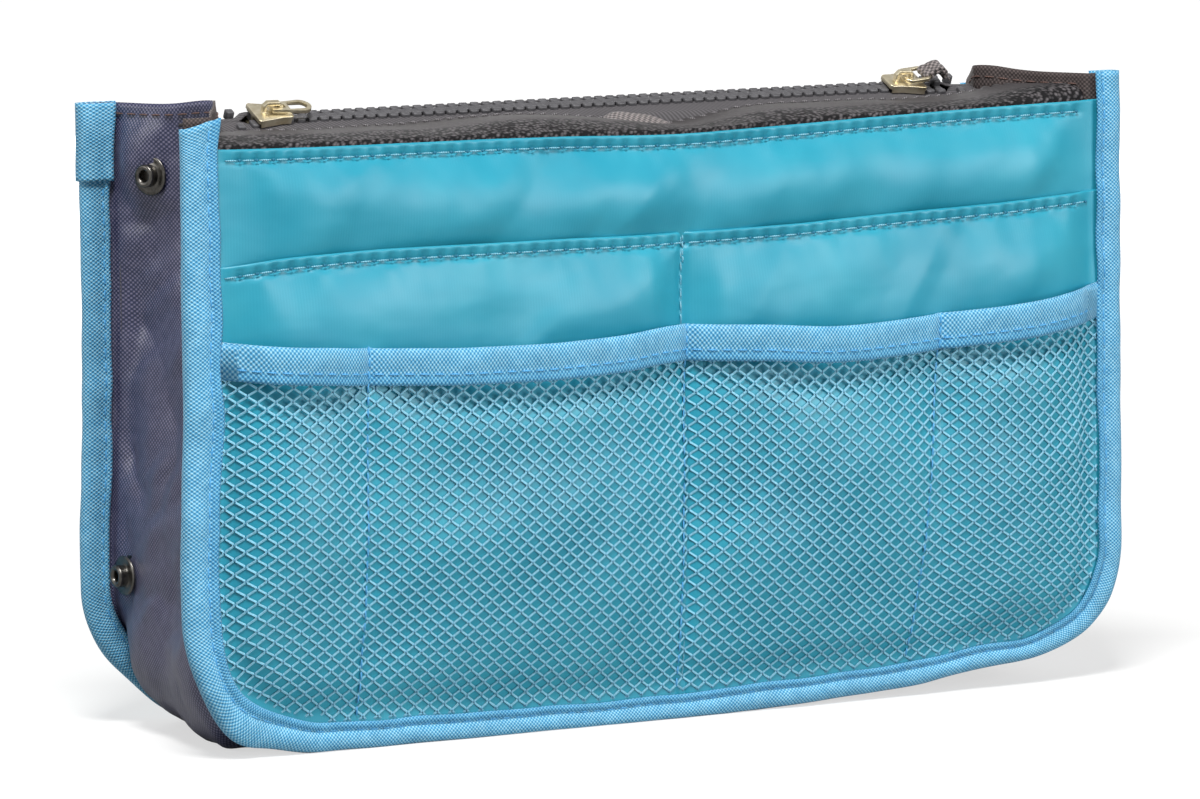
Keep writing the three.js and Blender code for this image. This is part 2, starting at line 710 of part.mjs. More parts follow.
function buildBase() {
  const end = HALF_WIDTH - CORNER_RADIUS - CLEARANCE;
  const section = gussetSection(0, 1, 0);
  const stations = stepsThrough([-end, end], 2 * end).map((x) => ({
    section,
    place: (inset) => new THREE.Vector2(x, inset),
  }));
  addMesh("base_strip", gussetSheet(stations), OXFORD);
}

// Press studs: each half has a flange outside the gusset, a barrel through it and a cap inside

function buildSnaps(name, sign) {
  const face = GUSSET_PLY / 2 + CLEARANCE;
  const flangeTop = face + SNAP_FLANGE;
  const barrelEnd = -face - CLEARANCE;
  const capBack = -face - CAP_THICKNESS;
  const rim = SNAP_RIM;
  const lathe = (profile) =>
    new THREE.LatheGeometry(profile.map(([r, h]) => new THREE.Vector2(r, h)), SNAP_SIDES);
  const foot = [
    [0, barrelEnd],
    [BARREL_RADIUS, barrelEnd],
    [BARREL_RADIUS, face],
    [SNAP_FLANGE_RADIUS, face],
    [SNAP_FLANGE_RADIUS, flangeTop - rim],
    [SNAP_FLANGE_RADIUS - rim, flangeTop],
  ];
  const stud = [
    ...foot,
    [STUD_RADIUS - rim, flangeTop],
    [STUD_RADIUS, flangeTop + STUD_HEIGHT - rim],
    [STUD_RADIUS - rim, flangeTop + STUD_HEIGHT],
    [STUD_BORE, flangeTop + STUD_HEIGHT],
    [STUD_BORE, flangeTop],
    [0, flangeTop],
  ];
  const socket = [
    ...foot,
    [SOCKET_RADIUS, flangeTop],
    [SOCKET_RADIUS - rim, flangeTop + SOCKET_HEIGHT],
    [SOCKET_BORE, flangeTop + SOCKET_HEIGHT],
    [SOCKET_BORE, flangeTop],
    [0, flangeTop],
  ];
  const cap = [
    [0, capBack],
    [SNAP_FLANGE_RADIUS - CAP_THICKNESS / 2, capBack + rim],
    [SNAP_FLANGE_RADIUS, -face - rim],
    [SNAP_FLANGE_RADIUS, -face],
    [BARREL_RADIUS + CLEARANCE, -face],
    [BARREL_RADIUS + CLEARANCE, barrelEnd - CLEARANCE],
    [0, barrelEnd - CLEARANCE],
  ];
  for (const place of SNAP_PLACES) {
    for (const [kind, half, profile] of [
      ["stud", REAR, stud],
      ["socket", FRONT, socket],
    ]) {
      const holder = alongAxis(new THREE.Group(), snapSpot(sign, place, half));
      pouch.add(holder);
      addMesh(`${name}_${place.level}_${kind}`, lathe(profile), GUNMETAL, holder);
      addMesh(`${name}_${place.level}_${kind}_cap`, lathe(cap), GUNMETAL, holder);
    }
  }
}

// Top closure

// How far an end of the closure may reach at a distance from the middle, beside the folded gusset.
const closureEnd = (out) =>
  HALF_WIDTH - GUSSET_TURN - FOLD_DEPTH * foldShare(Math.min(out, GUSSET_FLANGE)) - FACING_END_GAP;

const facingLip = (x) => panelInside(x, PANEL_TOP) - CLEARANCE - FACING_PLY / 2;

function stripAlongX(side, lineAt, ply, step, endAt) {
  const shares = stepsThrough([-1, 0, 1], step / HALF_WIDTH);
  const rows = { outer: [], inner: [] };
  for (const share of shares) {
    const line = lineAt(share * HALF_WIDTH);
    const moved = bothSides(line, ply);
    for (const which of ["outer", "inner"]) {
      rows[which].push(
        moved[which].map((p, i) => new THREE.Vector3(share * endAt(line[i].x, i), side * p.x, p.y)),
      );
    }
  }
  return sheetBetween(rows.outer, rows.inner);
}

function buildFacing(name, side) {
  const bottom = PANEL_TOP - FACING_LIP_HEIGHT - PANEL_TOP_SAG;
  const lipEnd = HALF_WIDTH - POCKET_INSET - CLEARANCE;
  const lineAt = (x) => {
    const lip = facingLip((x * lipEnd) / HALF_WIDTH);
    return [
      new THREE.Vector2(lip, bottom),
      new THREE.Vector2(lip, FACING_Z - FACING_FOLD),
      new THREE.Vector2(lip - FACING_FOLD, FACING_Z),
      new THREE.Vector2((lip + FACING_EDGE) / 2, FACING_Z),
      new THREE.Vector2(FACING_EDGE, FACING_Z),
    ];
  };
  const endAt = (out, i) => (i < 2 ? lipEnd : Math.min(lipEnd, closureEnd(out)));
  addMesh(`${name}_facing`, stripAlongX(side, lineAt, FACING_PLY, SHEET_STEP, endAt), PEBBLED);
}

// The chain leans towards the front: a group turned about its middle line carries all that runs on it.
const closure = new THREE.Group();
closure.position.z = CHAIN_Z;
closure.rotation.x = CHAIN_TILT;
pouch.add(closure);

// A place beside the middle line in the leaning plane, as distance from the middle plane and height.
const besideChain = (side, reach) =>
  new THREE.Vector2(reach * Math.cos(CHAIN_TILT), CHAIN_Z + side * reach * Math.sin(CHAIN_TILT));

// How far each half of the chain is parted sideways at a place along it: meshed between the sliders,
// parted inside each slider's mouth and on to the end stop.
function partedBy(x) {
  const slider = x < 0 ? -LEFT_SLIDER_X : RIGHT_SLIDER_X;
  const past = Math.abs(x) - slider;
  const mouth = SLIDER_LENGTH / 2;
  if (past <= -PART_LEAD) return 0;
  if (past <= mouth) return (MOUTH_PART * (past + PART_LEAD)) / (mouth + PART_LEAD);
  const tail = CHAIN_END - slider - mouth;
  return MOUTH_PART + (END_PART - MOUTH_PART) * Math.min((past - mouth) / tail, 1);
}

// The places along the chain where its halves start or stop turning aside.
const CHAIN_BENDS = [
  -CHAIN_END,
  LEFT_SLIDER_X - SLIDER_LENGTH / 2,
  LEFT_SLIDER_X + PART_LEAD,
  RIGHT_SLIDER_X - PART_LEAD,
  RIGHT_SLIDER_X + SLIDER_LENGTH / 2,
  CHAIN_END,
];

const sliderReach = CHAIN_HALF_WIDTH + MOUTH_PART + CLEARANCE + SLIDER_WALL;

function buildZipTape(name, side) {
  const tapeEnd = closureEnd(CHAIN_HALF_WIDTH) - CLEARANCE;
  const rows = { outer: [], inner: [] };
  for (const x of stepsThrough([-tapeEnd, ...CHAIN_BENDS, tapeEnd], 2 * SHEET_STEP)) {
    const edge = CHAIN_HALF_WIDTH + CLEARANCE + partedBy(x);
    const line = [
      besideChain(side, edge),
      besideChain(side, Math.max(sliderReach, edge) + 2 * CLEARANCE),
      new THREE.Vector2(FACING_EDGE - 2 * CLEARANCE, TAPE_Z),
      new THREE.Vector2(FACING_EDGE + TAPE_UNDERLAP, TAPE_Z),
    ];
    const moved = bothSides(line, TAPE_PLY);
    for (const which of ["outer", "inner"]) {
      rows[which].push(moved[which].map((p) => new THREE.Vector3(x, side * p.x, p.y)));
    }
  }
  addMesh(`${name}_zip_tape`, sheetBetween(rows.outer, rows.inner), PEBBLED);
}

// One half of the chain: bone-shaped teeth on a bead, set half a pitch from the other half.
// Local sizes run across the chain from the bead to the tips.
function buildZipTeeth(name, side) {
  const shift = side === FRONT ? 0 : TOOTH_PITCH / 2;
  const count = Math.floor((2 * CHAIN_END - TOOTH_PITCH) / TOOTH_PITCH);
  const firstTooth = -((count - 1) * TOOTH_PITCH) / 2 - TOOTH_PITCH / 4 + shift;
  const beadInner = -CHAIN_HALF_WIDTH + BEAD_WIDTH;
  const place = (x, across) => [x, side * (partedBy(x) - across)];
  const toothSide = [];
  for (let k = 0; k < count; k++) {
    const x = firstTooth + k * TOOTH_PITCH;
    const shape = [
      [-TOOTH_BASE, beadInner],
      [-TOOTH_NECK, -NECK_PLACE],
      [-TOOTH_HEAD, TOOTH_TIP_LENGTH],
      [TOOTH_HEAD, TOOTH_TIP_LENGTH],
      [TOOTH_NECK, -NECK_PLACE],
      [TOOTH_BASE, beadInner],
    ];
    const parted = partedBy(x);
    toothSide.push(...shape.map(([dx, across]) => [x + dx, side * (parted - across)]));
  }
  const beadSide = CHAIN_BENDS.map((x) => place(x, -CHAIN_HALF_WIDTH));
  const ends = [place(-CHAIN_END, beadInner), place(CHAIN_END, beadInner)];
  const outline = polygon([ends[0], ...toothSide, ends[1], ...beadSide.reverse()]);
  addMesh(`${name}_zip_teeth`, extrude(outline, CHAIN_THICKNESS, -CHAIN_THICKNESS / 2), ACETAL, closure);
}

function buildEndStops(name, side) {
  for (const [end, sign] of [
    ["left", -1],
    ["right", 1],
  ]) {
    const start = CHAIN_END + CLEARANCE;
    const inner = END_PART + BEAD_WIDTH / 2;
    const outer = END_PART + CHAIN_HALF_WIDTH;
    const cut = BEAD_WIDTH / 2;
    const outline = polygon([
      [start, inner],
      [start, outer],
      [start + STOP_LENGTH, outer],
      [start + STOP_LENGTH, inner + cut],
      [start + STOP_LENGTH - cut, inner],
    ]);
    const stop = addMesh(`${name}_${end}_zip_stop`, extrude(outline, CHAIN_THICKNESS), ACETAL, closure);
    stop.position.z = -CHAIN_THICKNESS / 2;
    stop.geometry.scale(sign, side, 1);
    if (sign * side < 0) stop.geometry = mirroredBack(stop.geometry);
  }
}

// Mirroring turns a body inside out, so its faces are turned back.
function mirroredBack(geometry) {
  const turned = mergeVertices(geometry.deleteAttribute("normal").deleteAttribute("uv"));
  const index = turned.index.array;
  for (let i = 0; i < index.length; i += 3) [index[i], index[i + 1]] = [index[i + 1], index[i]];
  return turned;
}

// Carry handle: flat webbing laid in a U under the facing, its ends sewn to the facing's lip
function buildHandle(name, side) {
  const lip = facingLip(HANDLE_HALF_SPAN) - FACING_PLY / 2 - CLEARANCE;
  const outerX = HANDLE_HALF_SPAN + HANDLE_WIDTH / 2;
  const innerX = outerX - HANDLE_WIDTH;
  const near = HANDLE_INNER_EDGE;
  const far = near + HANDLE_WIDTH;
  const mitre = HANDLE_WIDTH / 3;
  const half = [
    [innerX, far],
    [innerX, lip],
    [outerX, lip],
    [outerX, near + mitre],
    [outerX - mitre, near],
  ];
  const points = [...half, ...half.map(([x, out]) => [-x, out]).reverse()];
  const outline = polygon(points.map(([x, out]) => [x, side * out]));
  const z = TAPE_Z - TAPE_PLY / 2 - HANDLE_DROP - HANDLE_PLY;
  addMesh(`${name}_handle`, extrude(outline, HANDLE_PLY, z), WEBBING);
}

// Slider: two wings on a post, with side walls that leave a slot for each tape and a crown for the pull.
// Local +X points along the meshed chain.
function sliderSolid() {
  const half = SLIDER_LENGTH / 2;
  const spread = (x) => Math.max(0, (MOUTH_PART * (PART_LEAD - x)) / (half + PART_LEAD));
  const wallInside = (x) => CHAIN_HALF_WIDTH + CLEARANCE + spread(x);
  const outside = (x) => wallInside(x) + SLIDER_WALL;
  const nose = SLIDER_WALL;
  const wing = polygon([
    [-half, -outside(-half) + nose],
    [-half + nose, -outside(-half + nose)],
    [PART_LEAD, -outside(PART_LEAD)],
    [half - nose, -outside(half)],
    [half, -outside(half) + nose],
    [half, outside(half) - nose],
    [half - nose, outside(half)],
    [PART_LEAD, outside(PART_LEAD)],
    [-half + nose, outside(-half + nose)],
    [-half, outside(-half) - nose],
  ]);
  const sideWall = (sign) =>
    polygon(
      [
        [-half + nose, outside(-half + nose)],
        [PART_LEAD, outside(PART_LEAD)],
        [half - nose, outside(half)],
        [half - nose, wallInside(half)],
        [PART_LEAD, wallInside(PART_LEAD)],
        [-half + nose, wallInside(-half + nose)],
      ].map(([x, y]) => [x, sign * y]),
    );
  const post = polygon([
    [-half, -POST_WIDTH / 2],
    [-half + POST_LENGTH, -POST_WIDTH / 8],
    [-half + POST_LENGTH, POST_WIDTH / 8],
    [-half, POST_WIDTH / 2],
  ]);
  const bite = WING_THICKNESS / 2;
  let solid = toSolid(extrude(post, 2 * (CAVITY + bite), -CAVITY - bite));
  for (const z of [CAVITY, -CAVITY - WING_THICKNESS]) {
    solid = solid.add(toSolid(extrude(wing, WING_THICKNESS, z)));
  }
  const wallHeight = CAVITY + bite - TAPE_SLOT / 2;
  for (const z of [TAPE_SLOT / 2, -TAPE_SLOT / 2 - wallHeight]) {
    for (const sign of [-1, 1]) solid = solid.add(toSolid(extrude(sideWall(sign), wallHeight, z)));
  }
  return solid.add(toSolid(crownGeometry(WING_TOP - bite)));
}

// An arch along the slider with room for the pull's bar to turn in it.
function crownGeometry(foot) {
  const half = CROWN_LENGTH / 2;
  const roof = PIVOT_Z + PIVOT_ROOM;
  const top = roof + CROWN_BAR;
  const round = CROWN_BAR;
  const arch = polygon([
    [-half, foot],
    [-half, top - round],
    [-half + round, top],
    [half - round, top],
    [half, top - round],
    [half, foot],
    [half - CROWN_BAR, foot],
    [half - CROWN_BAR, roof],
    [-half + CROWN_BAR, roof],
    [-half + CROWN_BAR, foot],
  ]);
  return extrude(arch, CROWN_WIDTH, -CROWN_WIDTH / 2).rotateX(Math.PI / 2);
}

// The pull's eye is a window whose end bar turns in the crown. Local origin on the bar's axis.
const eyeWindow = (halfWidth) => [
  [PULL_WIRE / 2, -halfWidth],
  [PULL_WIRE / 2 + PULL_EYE, -halfWidth],
  [PULL_WIRE / 2 + PULL_EYE, halfWidth],
  [PULL_WIRE / 2, halfWidth],
];

function buildLeftPull(parent) {
  const half = PULL_WIDTH / 2;
  const waist = half - PULL_WIRE;
  const start = -PULL_WIRE / 2;
  const end = start + PULL_LENGTH;
  const shape = new THREE.Shape();
  shape.absarc(end - half, 0, half, -Math.PI / 2, Math.PI / 2);
  shape.lineTo(start, waist);
  shape.lineTo(start, -waist);
  shape.holes.push(holeOf(eyeWindow(waist - PULL_WIRE)));
  const slotStart = PULL_WIRE / 2 + PULL_EYE + PULL_WIRE;
  const slotHalf = half - PULL_RIM;
  const slot = new THREE.Path();
  slot.absarc(end - half, 0, slotHalf, -Math.PI / 2, Math.PI / 2);
  slot.lineTo(slotStart, slotHalf);
  slot.lineTo(slotStart, -slotHalf);
  shape.holes.push(slot);
  addMesh("left_pull", extrude(shape, PULL_WIRE, -PULL_WIRE / 2), PALE_GOLD, parent);
}

function buildRightPull(parent) {
  const half = RING_WIDTH / 2;
  const start = -PULL_WIRE / 2;
  const end = start + RING_LENGTH;
  const cut = PULL_RIM;
  const ring = polygon([
    [start, -half + cut],
    [start + cut, -half],
    [end - cut, -half],
    [end, -half + cut],
    [end, half - cut],
    [end - cut, half],
    [start + cut, half],
    [start, half - cut],
  ]);
  const inside = half - PULL_WIRE;
  ring.holes.push(
    holeOf([
      [start + PULL_WIRE, -inside],
      [end - PULL_WIRE, -inside],
      [end - PULL_WIRE, inside],
      [start + PULL_WIRE, inside],
    ]),
  );
  addMesh("right_pull_ring", extrude(ring, PULL_WIRE, -PULL_WIRE / 2), PALE_GOLD, parent);

  const bar = end - PULL_WIRE / 2;
  const eye = PULL_WIRE * Math.SQRT1_2 + CLEARANCE;
  const outer = eye + RIBBON_PLY;
  const loop = new THREE.Shape();
  const join = Math.asin(RIBBON_PLY / outer);
  loop.absarc(bar, 0, outer, join, 2 * Math.PI - join);
  loop.lineTo(bar + outer + RIBBON_TAIL, -RIBBON_PLY);
  loop.lineTo(bar + outer + RIBBON_TAIL, RIBBON_PLY);
  const gap = new THREE.Path();
  gap.absarc(bar, 0, eye, 0, 2 * Math.PI);
  loop.holes.push(gap);
  const ribbon = extrude(loop, RIBBON_WIDTH, -RIBBON_WIDTH / 2).rotateX(Math.PI / 2);
  addMesh("right_pull_ribbon", ribbon, WEBBING, parent);
}

function buildSliders() {
  const left = new THREE.Group();
  left.position.x = LEFT_SLIDER_X;
  const right = new THREE.Group();
  right.position.x = RIGHT_SLIDER_X;
  closure.add(left, right);

  const body = sliderSolid();
  addMesh("left_slider", fromSolid(body), PALE_GOLD, left);
  addMesh("right_slider", fromSolid(body), PALE_GOLD, right).rotation.z = Math.PI;

  const leftPull = new THREE.Group();
  leftPull.position.z = PIVOT_Z;
  left.add(leftPull);
  buildLeftPull(leftPull);

  const rightPull = new THREE.Group();
  rightPull.position.z = PIVOT_Z;
  rightPull.rotation.y = THREE.MathUtils.degToRad(-RING_TILT);
  right.add(rightPull);
  buildRightPull(rightPull);
}

for (const [name, side, seam] of [
  ["front", FRONT, FRONT_SLIP_SEAM],
  ["rear", REAR, REAR_SLIP_SEAM],
]) {
  buildFace(name, side, seam);
  buildBinding(name, side);
  buildFacing(name, side);
  buildHandle(name, side);
  buildZipTape(name, side);
  buildZipTeeth(name, side);
  buildEndStops(name, side);
}
buildNet();
buildNetTrim();
buildBase();
for (const [name, sign] of [
  ["left", -1],
  ["right", 1],
]) {
  buildGusset(name, sign);
  buildSnaps(name, sign);
}
buildSliders();

export default pouch;
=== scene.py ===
# %% [markdown]
# # A purse organizer insert
# The real thing is a soft upright pouch: two satin faces with pockets, dark gussets at its ends, blue
# tape round every edge and a zip along its top. The CAD frame holds its sizes and its moving zip sliders.
# This lesson sews the cloth that the eye sees around that frame, one kind of cloth after another.

# %% Load the CAD frame
import json
import math

import bpy
import numpy as np
from mathutils import Matrix, Vector, noise

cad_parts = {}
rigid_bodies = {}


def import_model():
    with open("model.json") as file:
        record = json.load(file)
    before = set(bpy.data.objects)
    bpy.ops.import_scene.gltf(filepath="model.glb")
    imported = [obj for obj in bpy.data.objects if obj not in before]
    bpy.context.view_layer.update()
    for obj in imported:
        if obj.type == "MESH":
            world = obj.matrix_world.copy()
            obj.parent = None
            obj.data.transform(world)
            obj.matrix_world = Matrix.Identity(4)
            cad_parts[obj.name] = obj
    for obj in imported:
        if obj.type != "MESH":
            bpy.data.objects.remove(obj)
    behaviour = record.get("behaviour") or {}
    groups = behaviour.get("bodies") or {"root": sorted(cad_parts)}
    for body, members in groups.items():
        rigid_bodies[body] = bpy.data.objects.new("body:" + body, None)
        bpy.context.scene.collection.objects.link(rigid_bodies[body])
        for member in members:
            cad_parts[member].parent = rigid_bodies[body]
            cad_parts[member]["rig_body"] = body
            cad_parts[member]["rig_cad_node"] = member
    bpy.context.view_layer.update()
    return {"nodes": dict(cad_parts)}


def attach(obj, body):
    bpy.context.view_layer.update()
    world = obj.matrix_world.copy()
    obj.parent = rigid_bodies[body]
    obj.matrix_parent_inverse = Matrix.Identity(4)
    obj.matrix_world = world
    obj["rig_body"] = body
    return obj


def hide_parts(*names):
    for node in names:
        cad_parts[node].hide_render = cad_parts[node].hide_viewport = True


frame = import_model()
MM = 0.001

# %% [markdown]
# ## Camera
# The photograph was taken from far away with a long lens, a little above the pouch and to its left, so
# its edges hardly converge. A long lens on a far camera gives the same flat look. The angles, the
# distance and the lens were worked out from the places of the pouch's corners.

# %% Camera
AZIMUTH, ELEVATION, ROLL = (math.radians(a) for a in (-27.82, 6.5, -0.71))
AIM = Vector((-2.3, 0, 84.8)) * MM
DISTANCE = 2003 * MM
LENS = 216.6
SENSOR_WIDTH = 36

back = Vector((
    math.sin(AZIMUTH) * math.cos(ELEVATION),
    -math.cos(AZIMUTH) * math.cos(ELEVATION),
    math.sin(ELEVATION),
))
level = Vector((math.cos(AZIMUTH), math.sin(AZIMUTH), 0))
upright = back.cross(level)
right = level * math.cos(ROLL) + upright * math.sin(ROLL)
above = upright * math.cos(ROLL) - level * math.sin(ROLL)
bpy.ops.object.select_all(action="DESELECT")
bpy.ops.object.camera_add(location=AIM + back * DISTANCE)
camera = bpy.context.object
camera.rotation_euler = Matrix((right, above, back)).transposed().to_euler()
camera.data.lens = LENS
camera.data.sensor_width = SENSOR_WIDTH
bpy.context.scene.camera = camera
print("camera at", [round(c, 3) for c in camera.location])

# %% [markdown]
# ## The shape of the pouch
# Every ply follows the same few rules, so they are written once. A face is a U: straight sides, round
# lower corners and an open top. A ply stands out from the middle plane by a depth, and a pocket swells
# like a pillow between the lines where it is sewn down. A filled pouch also settles: its lower right
# corner lifts, its left corner sits down, and the far top corner droops. All points go through that
# settling.

# %% Measures of the pouch, in millimetres
HALF_WIDTH = 145
HEIGHT = 172
FLANGE = 35
CORNER = 38
EDGE = 10.4
FRONT, REAR = -1, 1
FACES = (("front", FRONT), ("rear", REAR))
print("the pouch is", 2 * HALF_WIDTH, "mm wide and", HEIGHT, "mm high")

# %% Soft steps, curves and folds


def smooth(t):
    """A step from 0 to 1 that starts and ends softly."""
    t = np.clip(t, 0, 1)
    return t * t * (3 - 2 * t)


def hump(t):
    """A soft bell: 1 where t is 0, next to nothing where it is 2."""
    return np.exp(-(t * t))


def run_along(path):
    """How far along a path each of its points is."""
    return np.concatenate([[0], np.cumsum(np.linalg.norm(np.diff(path, axis=0), axis=1))])


def curve_through(points):
    """A smooth height for any x, through a few measured places."""
    xs, heights = np.array(points, float).T
    slopes = np.gradient(heights, xs)

    def at(x):
        x = np.clip(np.asarray(x, float), xs[0], xs[-1])
        i = np.clip(np.searchsorted(xs, x) - 1, 0, len(xs) - 2)
        step = xs[i + 1] - xs[i]
        t = (x - xs[i]) / step
        start = heights[i] * (1 + 2 * t) + step * slopes[i] * t
        end = heights[i + 1] * (3 - 2 * t) - step * slopes[i + 1] * (1 - t)
        return start * (1 - t) ** 2 + end * t * t

    return at


def ripple(x, z, wide, tall, seed):
    """Soft folds about as wide and tall as given, from -1 to 1, the same on every run."""
    x, z = np.broadcast_arrays(np.asarray(x, float), np.asarray(z, float))
    pairs = zip(np.ravel(x) / wide, np.ravel(z) / tall)
    return np.reshape([noise.noise((a, b, seed)) for a, b in pairs], x.shape)


def folds(x, z, size, seed):
    """Soft folds of a size, which is how deep, how wide and how tall they are."""
    deep, wide, tall = size
    return deep * ripple(x, z, wide, tall, seed)


print("a quarter of the way along, a soft step has risen", float(smooth(0.25)))

# %% How the filled pouch settles
corner_lift = curve_through([
    (-146, 0), (28, 0), (46, 0.9), (77, 2.7), (104, 6.2), (118, 6.4), (130, 5.0), (139, 2.8), (147, 0.6),
])
LIFT_FADE = 75
LEFT_SIT, LEFT_SIT_CHANGE = 6.2, 9.4
FAR_DROOP = 7.3
LEFT_BELLY = 1.9
DRAWN_IN = 2.2
TABLE_GAP = 0.05


def settle(x, y, z):
    """How the filled pouch sits: corners lift, sit down or droop a few millimetres."""
    x, y, z = (np.asarray(a, float) for a in np.broadcast_arrays(x, y, z))
    low = (1 - np.clip(z / LIFT_FADE, 0, 1)) ** 2
    lift = corner_lift(x) * low
    behind = smooth((y + 25) / 50)
    tight = (LEFT_SIT - LEFT_SIT_CHANGE * behind) * hump((x + 134) / 9) * low
    droop = FAR_DROOP * smooth((x - 92) / 45) * smooth((y + 8) / 38) * smooth((z - 105) / 55)
    belly = LEFT_BELLY * hump((z - 46) / 34) * smooth((-x - 108) / 28)
    drawn_in = DRAWN_IN * behind * smooth((-x - 100) / 40)
    return x - belly + drawn_in, y, np.maximum(z + lift - tight - droop, TABLE_GAP)


print("the lower right corner lifts", round(float(corner_lift(112)), 1), "mm")

# %% [markdown]
# ## Where each ply lies
# The lines along the pouch's mouth, the slip pocket and the net pocket were measured on the photograph
# and are given as a handful of places. The depth of a ply starts at the binding and grows inwards.

# %% Lines along the faces
panel_top = curve_through([
    (-146, 163.2), (-135, 162.9), (-81, 162.2), (-39, 161.8), (4, 160.8), (29, 161.4), (60, 162.4),
    (92, 163.2), (135, 164.1), (146, 164.3),
])
slip_top = curve_through([
    (-146, 130.9), (-134, 131.7), (-120, 133.3), (-102, 134.2), (-40, 134.4), (4, 134.1), (28, 134.6),
    (73, 136.3), (105, 137.2), (135, 138.7), (146, 139.2),
])
net_top = curve_through([
    (-146, 113.0), (-134, 112.1), (-115, 110.3), (-94, 108.8), (-67, 107.5), (-52, 107.4), (-22, 108.0),
    (4, 109.2), (28, 107.8), (50, 106.7), (82, 107.9), (105, 109.4), (136, 112.7), (146, 113.9),
])
SLIP_SEAM = 3
NET_SEAMS = [-95, 3, 81]
print("heights at the middle, mm:", [round(float(top(0)), 1) for top in (panel_top, slip_top, net_top)])

# %% How far out each ply stands
PANEL_BULGE = 1.6
SLIP_FULL = 4.3
NET_FULL = 5.2


def half_width(z, inset):
    below = np.clip(CORNER - z, 0, None)
    return HALF_WIDTH - CORNER + np.sqrt(np.clip((CORNER - inset) ** 2 - below**2, 0, None))


def side_limit(z):
    return half_width(np.maximum(z, EDGE), EDGE)


def pillow(x, lines, power):
    """0 on each sewn line and 1 midway between two of them."""
    height = np.zeros(np.shape(x))
    for low, high in zip(lines, lines[1:]):
        t = np.abs(2 * (x - low) / (high - low) - 1)
        height = np.where((x >= low) & (x <= high), 1 - t**power, height)
    return height


def swell(z):
    return 1 - (1 - np.clip((z - EDGE) / 60, 0, 1)) ** 2


def off_edge(x, z, reach):
    """0 under the binding, growing to 1 at a distance inside it."""
    return smooth(np.minimum(side_limit(z) - np.abs(x), z - EDGE) / reach)


def panel_out(x, z):
    limit = side_limit(z)
    return FLANGE + 1 + PANEL_BULGE * pillow(x, [-limit, limit], 4) * swell(z)


def slip_out(x, z, seam=SLIP_SEAM):
    limit = side_limit(z)
    mouth = 1 - 0.3 * smooth((z - 105) / 28)
    full = SLIP_FULL * pillow(x, [-limit, seam, limit], 4) * swell(z) * mouth
    return panel_out(x, z) + 0.45 + 0.5 * off_edge(x, z, 9) + full


def net_out(x, z):
    limit = side_limit(z)
    full = NET_FULL * pillow(x, [-limit, *NET_SEAMS, limit], 2) + 0.9 * off_edge(x, z, 12)
    return slip_out(x, z) + 0.3 + full * swell(z)


print("net pocket stands out", round(float(net_out(np.array(-50.0), np.array(90.0))), 1), "mm")

# %% Round lower corners


def round_corner(x, z):
    """A point of a square-cornered face, moved so that its lower corners become round."""
    from_side = HALF_WIDTH - np.abs(x)
    radius = np.maximum(CORNER - np.minimum(from_side, z), 0.01)
    half = math.pi / 4 * np.clip((CORNER - np.maximum(from_side, z)) / radius, 0, 1)
    angle = np.where(z <= from_side, half, math.pi / 2 - half)
    inside = (from_side < CORNER) & (z < CORNER)
    side = np.sign(x) * (HALF_WIDTH - CORNER + radius * np.sin(angle))
    return np.where(inside, side, x), np.where(inside, CORNER - radius * np.cos(angle), z)


print("the lower right corner goes to", [round(float(c), 1) for c in round_corner(HALF_WIDTH, 0)])

# %% [markdown]
# ## A bench for sewing
# A cloth piece starts as a flat grid, like cloth on a table. Its points are then moved to where the sewn
# cloth lies, its UV map keeps the flat cloth's millimetres so that a weave follows the thread, and a
# Solidify modifier gives it the ply's thickness. The flat size that each cut needs is measured on the
# way. A cloth simulation could drape it, but would not put the folds where the photograph has them, so
# each point's place is worked out instead.

# %% Cut, shape and measure a cloth
CM = 0.01
cut_sizes = {}


def cloth(name, us, vs, place, ply, face_out, sample=(0.5, 0.5)):
    """A grid of columns us and rows vs, in mm of flat cloth, moved by place(u, v), one ply thick."""
    bpy.ops.object.select_all(action="DESELECT")
    bpy.ops.mesh.primitive_grid_add(x_subdivisions=len(us) - 1, y_subdivisions=len(vs) - 1, size=2)
    piece = bpy.context.object
    piece.name = piece.data.name = name
    mesh = piece.data
    flat = np.empty(len(mesh.vertices) * 3)
    mesh.vertices.foreach_get("co", flat)
    column = np.rint((flat[0::3] + 1) / 2 * (len(us) - 1)).astype(int)
    row = np.rint((flat[1::3] + 1) / 2 * (len(vs) - 1)).astype(int)
    u, v = np.asarray(us, float)[column], np.asarray(vs, float)[row]
    points = np.column_stack(settle(*place(u, v)))
    mesh.vertices.foreach_set("co", points.ravel() * MM)
    loops = np.empty(len(mesh.loops), int)
    mesh.loops.foreach_get("vertex_index", loops)
    mesh.uv_layers[0].data.foreach_set("uv", np.column_stack((u, v))[loops].ravel() * MM)
    table = np.empty((len(vs), len(us), 3))
    table[row, column] = points
    measure_cut(name, table)
    r, c = (min(int(s * (n - 1)), n - 2) for s, n in zip(sample, table.shape))
    normal = np.cross(table[r, c + 1] - table[r, c], table[r + 1, c] - table[r, c])
    if np.dot(normal, face_out) < 0:
        mesh.flip_normals()
    apply_modifier(piece, "SOLIDIFY", thickness=ply * MM, offset=-1)
    mesh.polygons.foreach_set("use_smooth", np.ones(len(mesh.polygons), bool))
    mesh.update()
    return piece


def measure_cut(name, table):
    """The flat width, length and area of a cut, from its shaped grid."""
    across = np.linalg.norm(np.diff(table, axis=1), axis=2).sum(axis=1).max()
    along = np.linalg.norm(np.diff(table, axis=0), axis=2).sum(axis=0).max()
    one = table[1:, 1:] - table[:-1, :-1]
    two = table[1:, :-1] - table[:-1, 1:]
    area = np.linalg.norm(np.cross(one, two), axis=2).sum() / 2
    cut_sizes[name] = (across * MM, along * MM, min(area, across * along) * MM * MM)


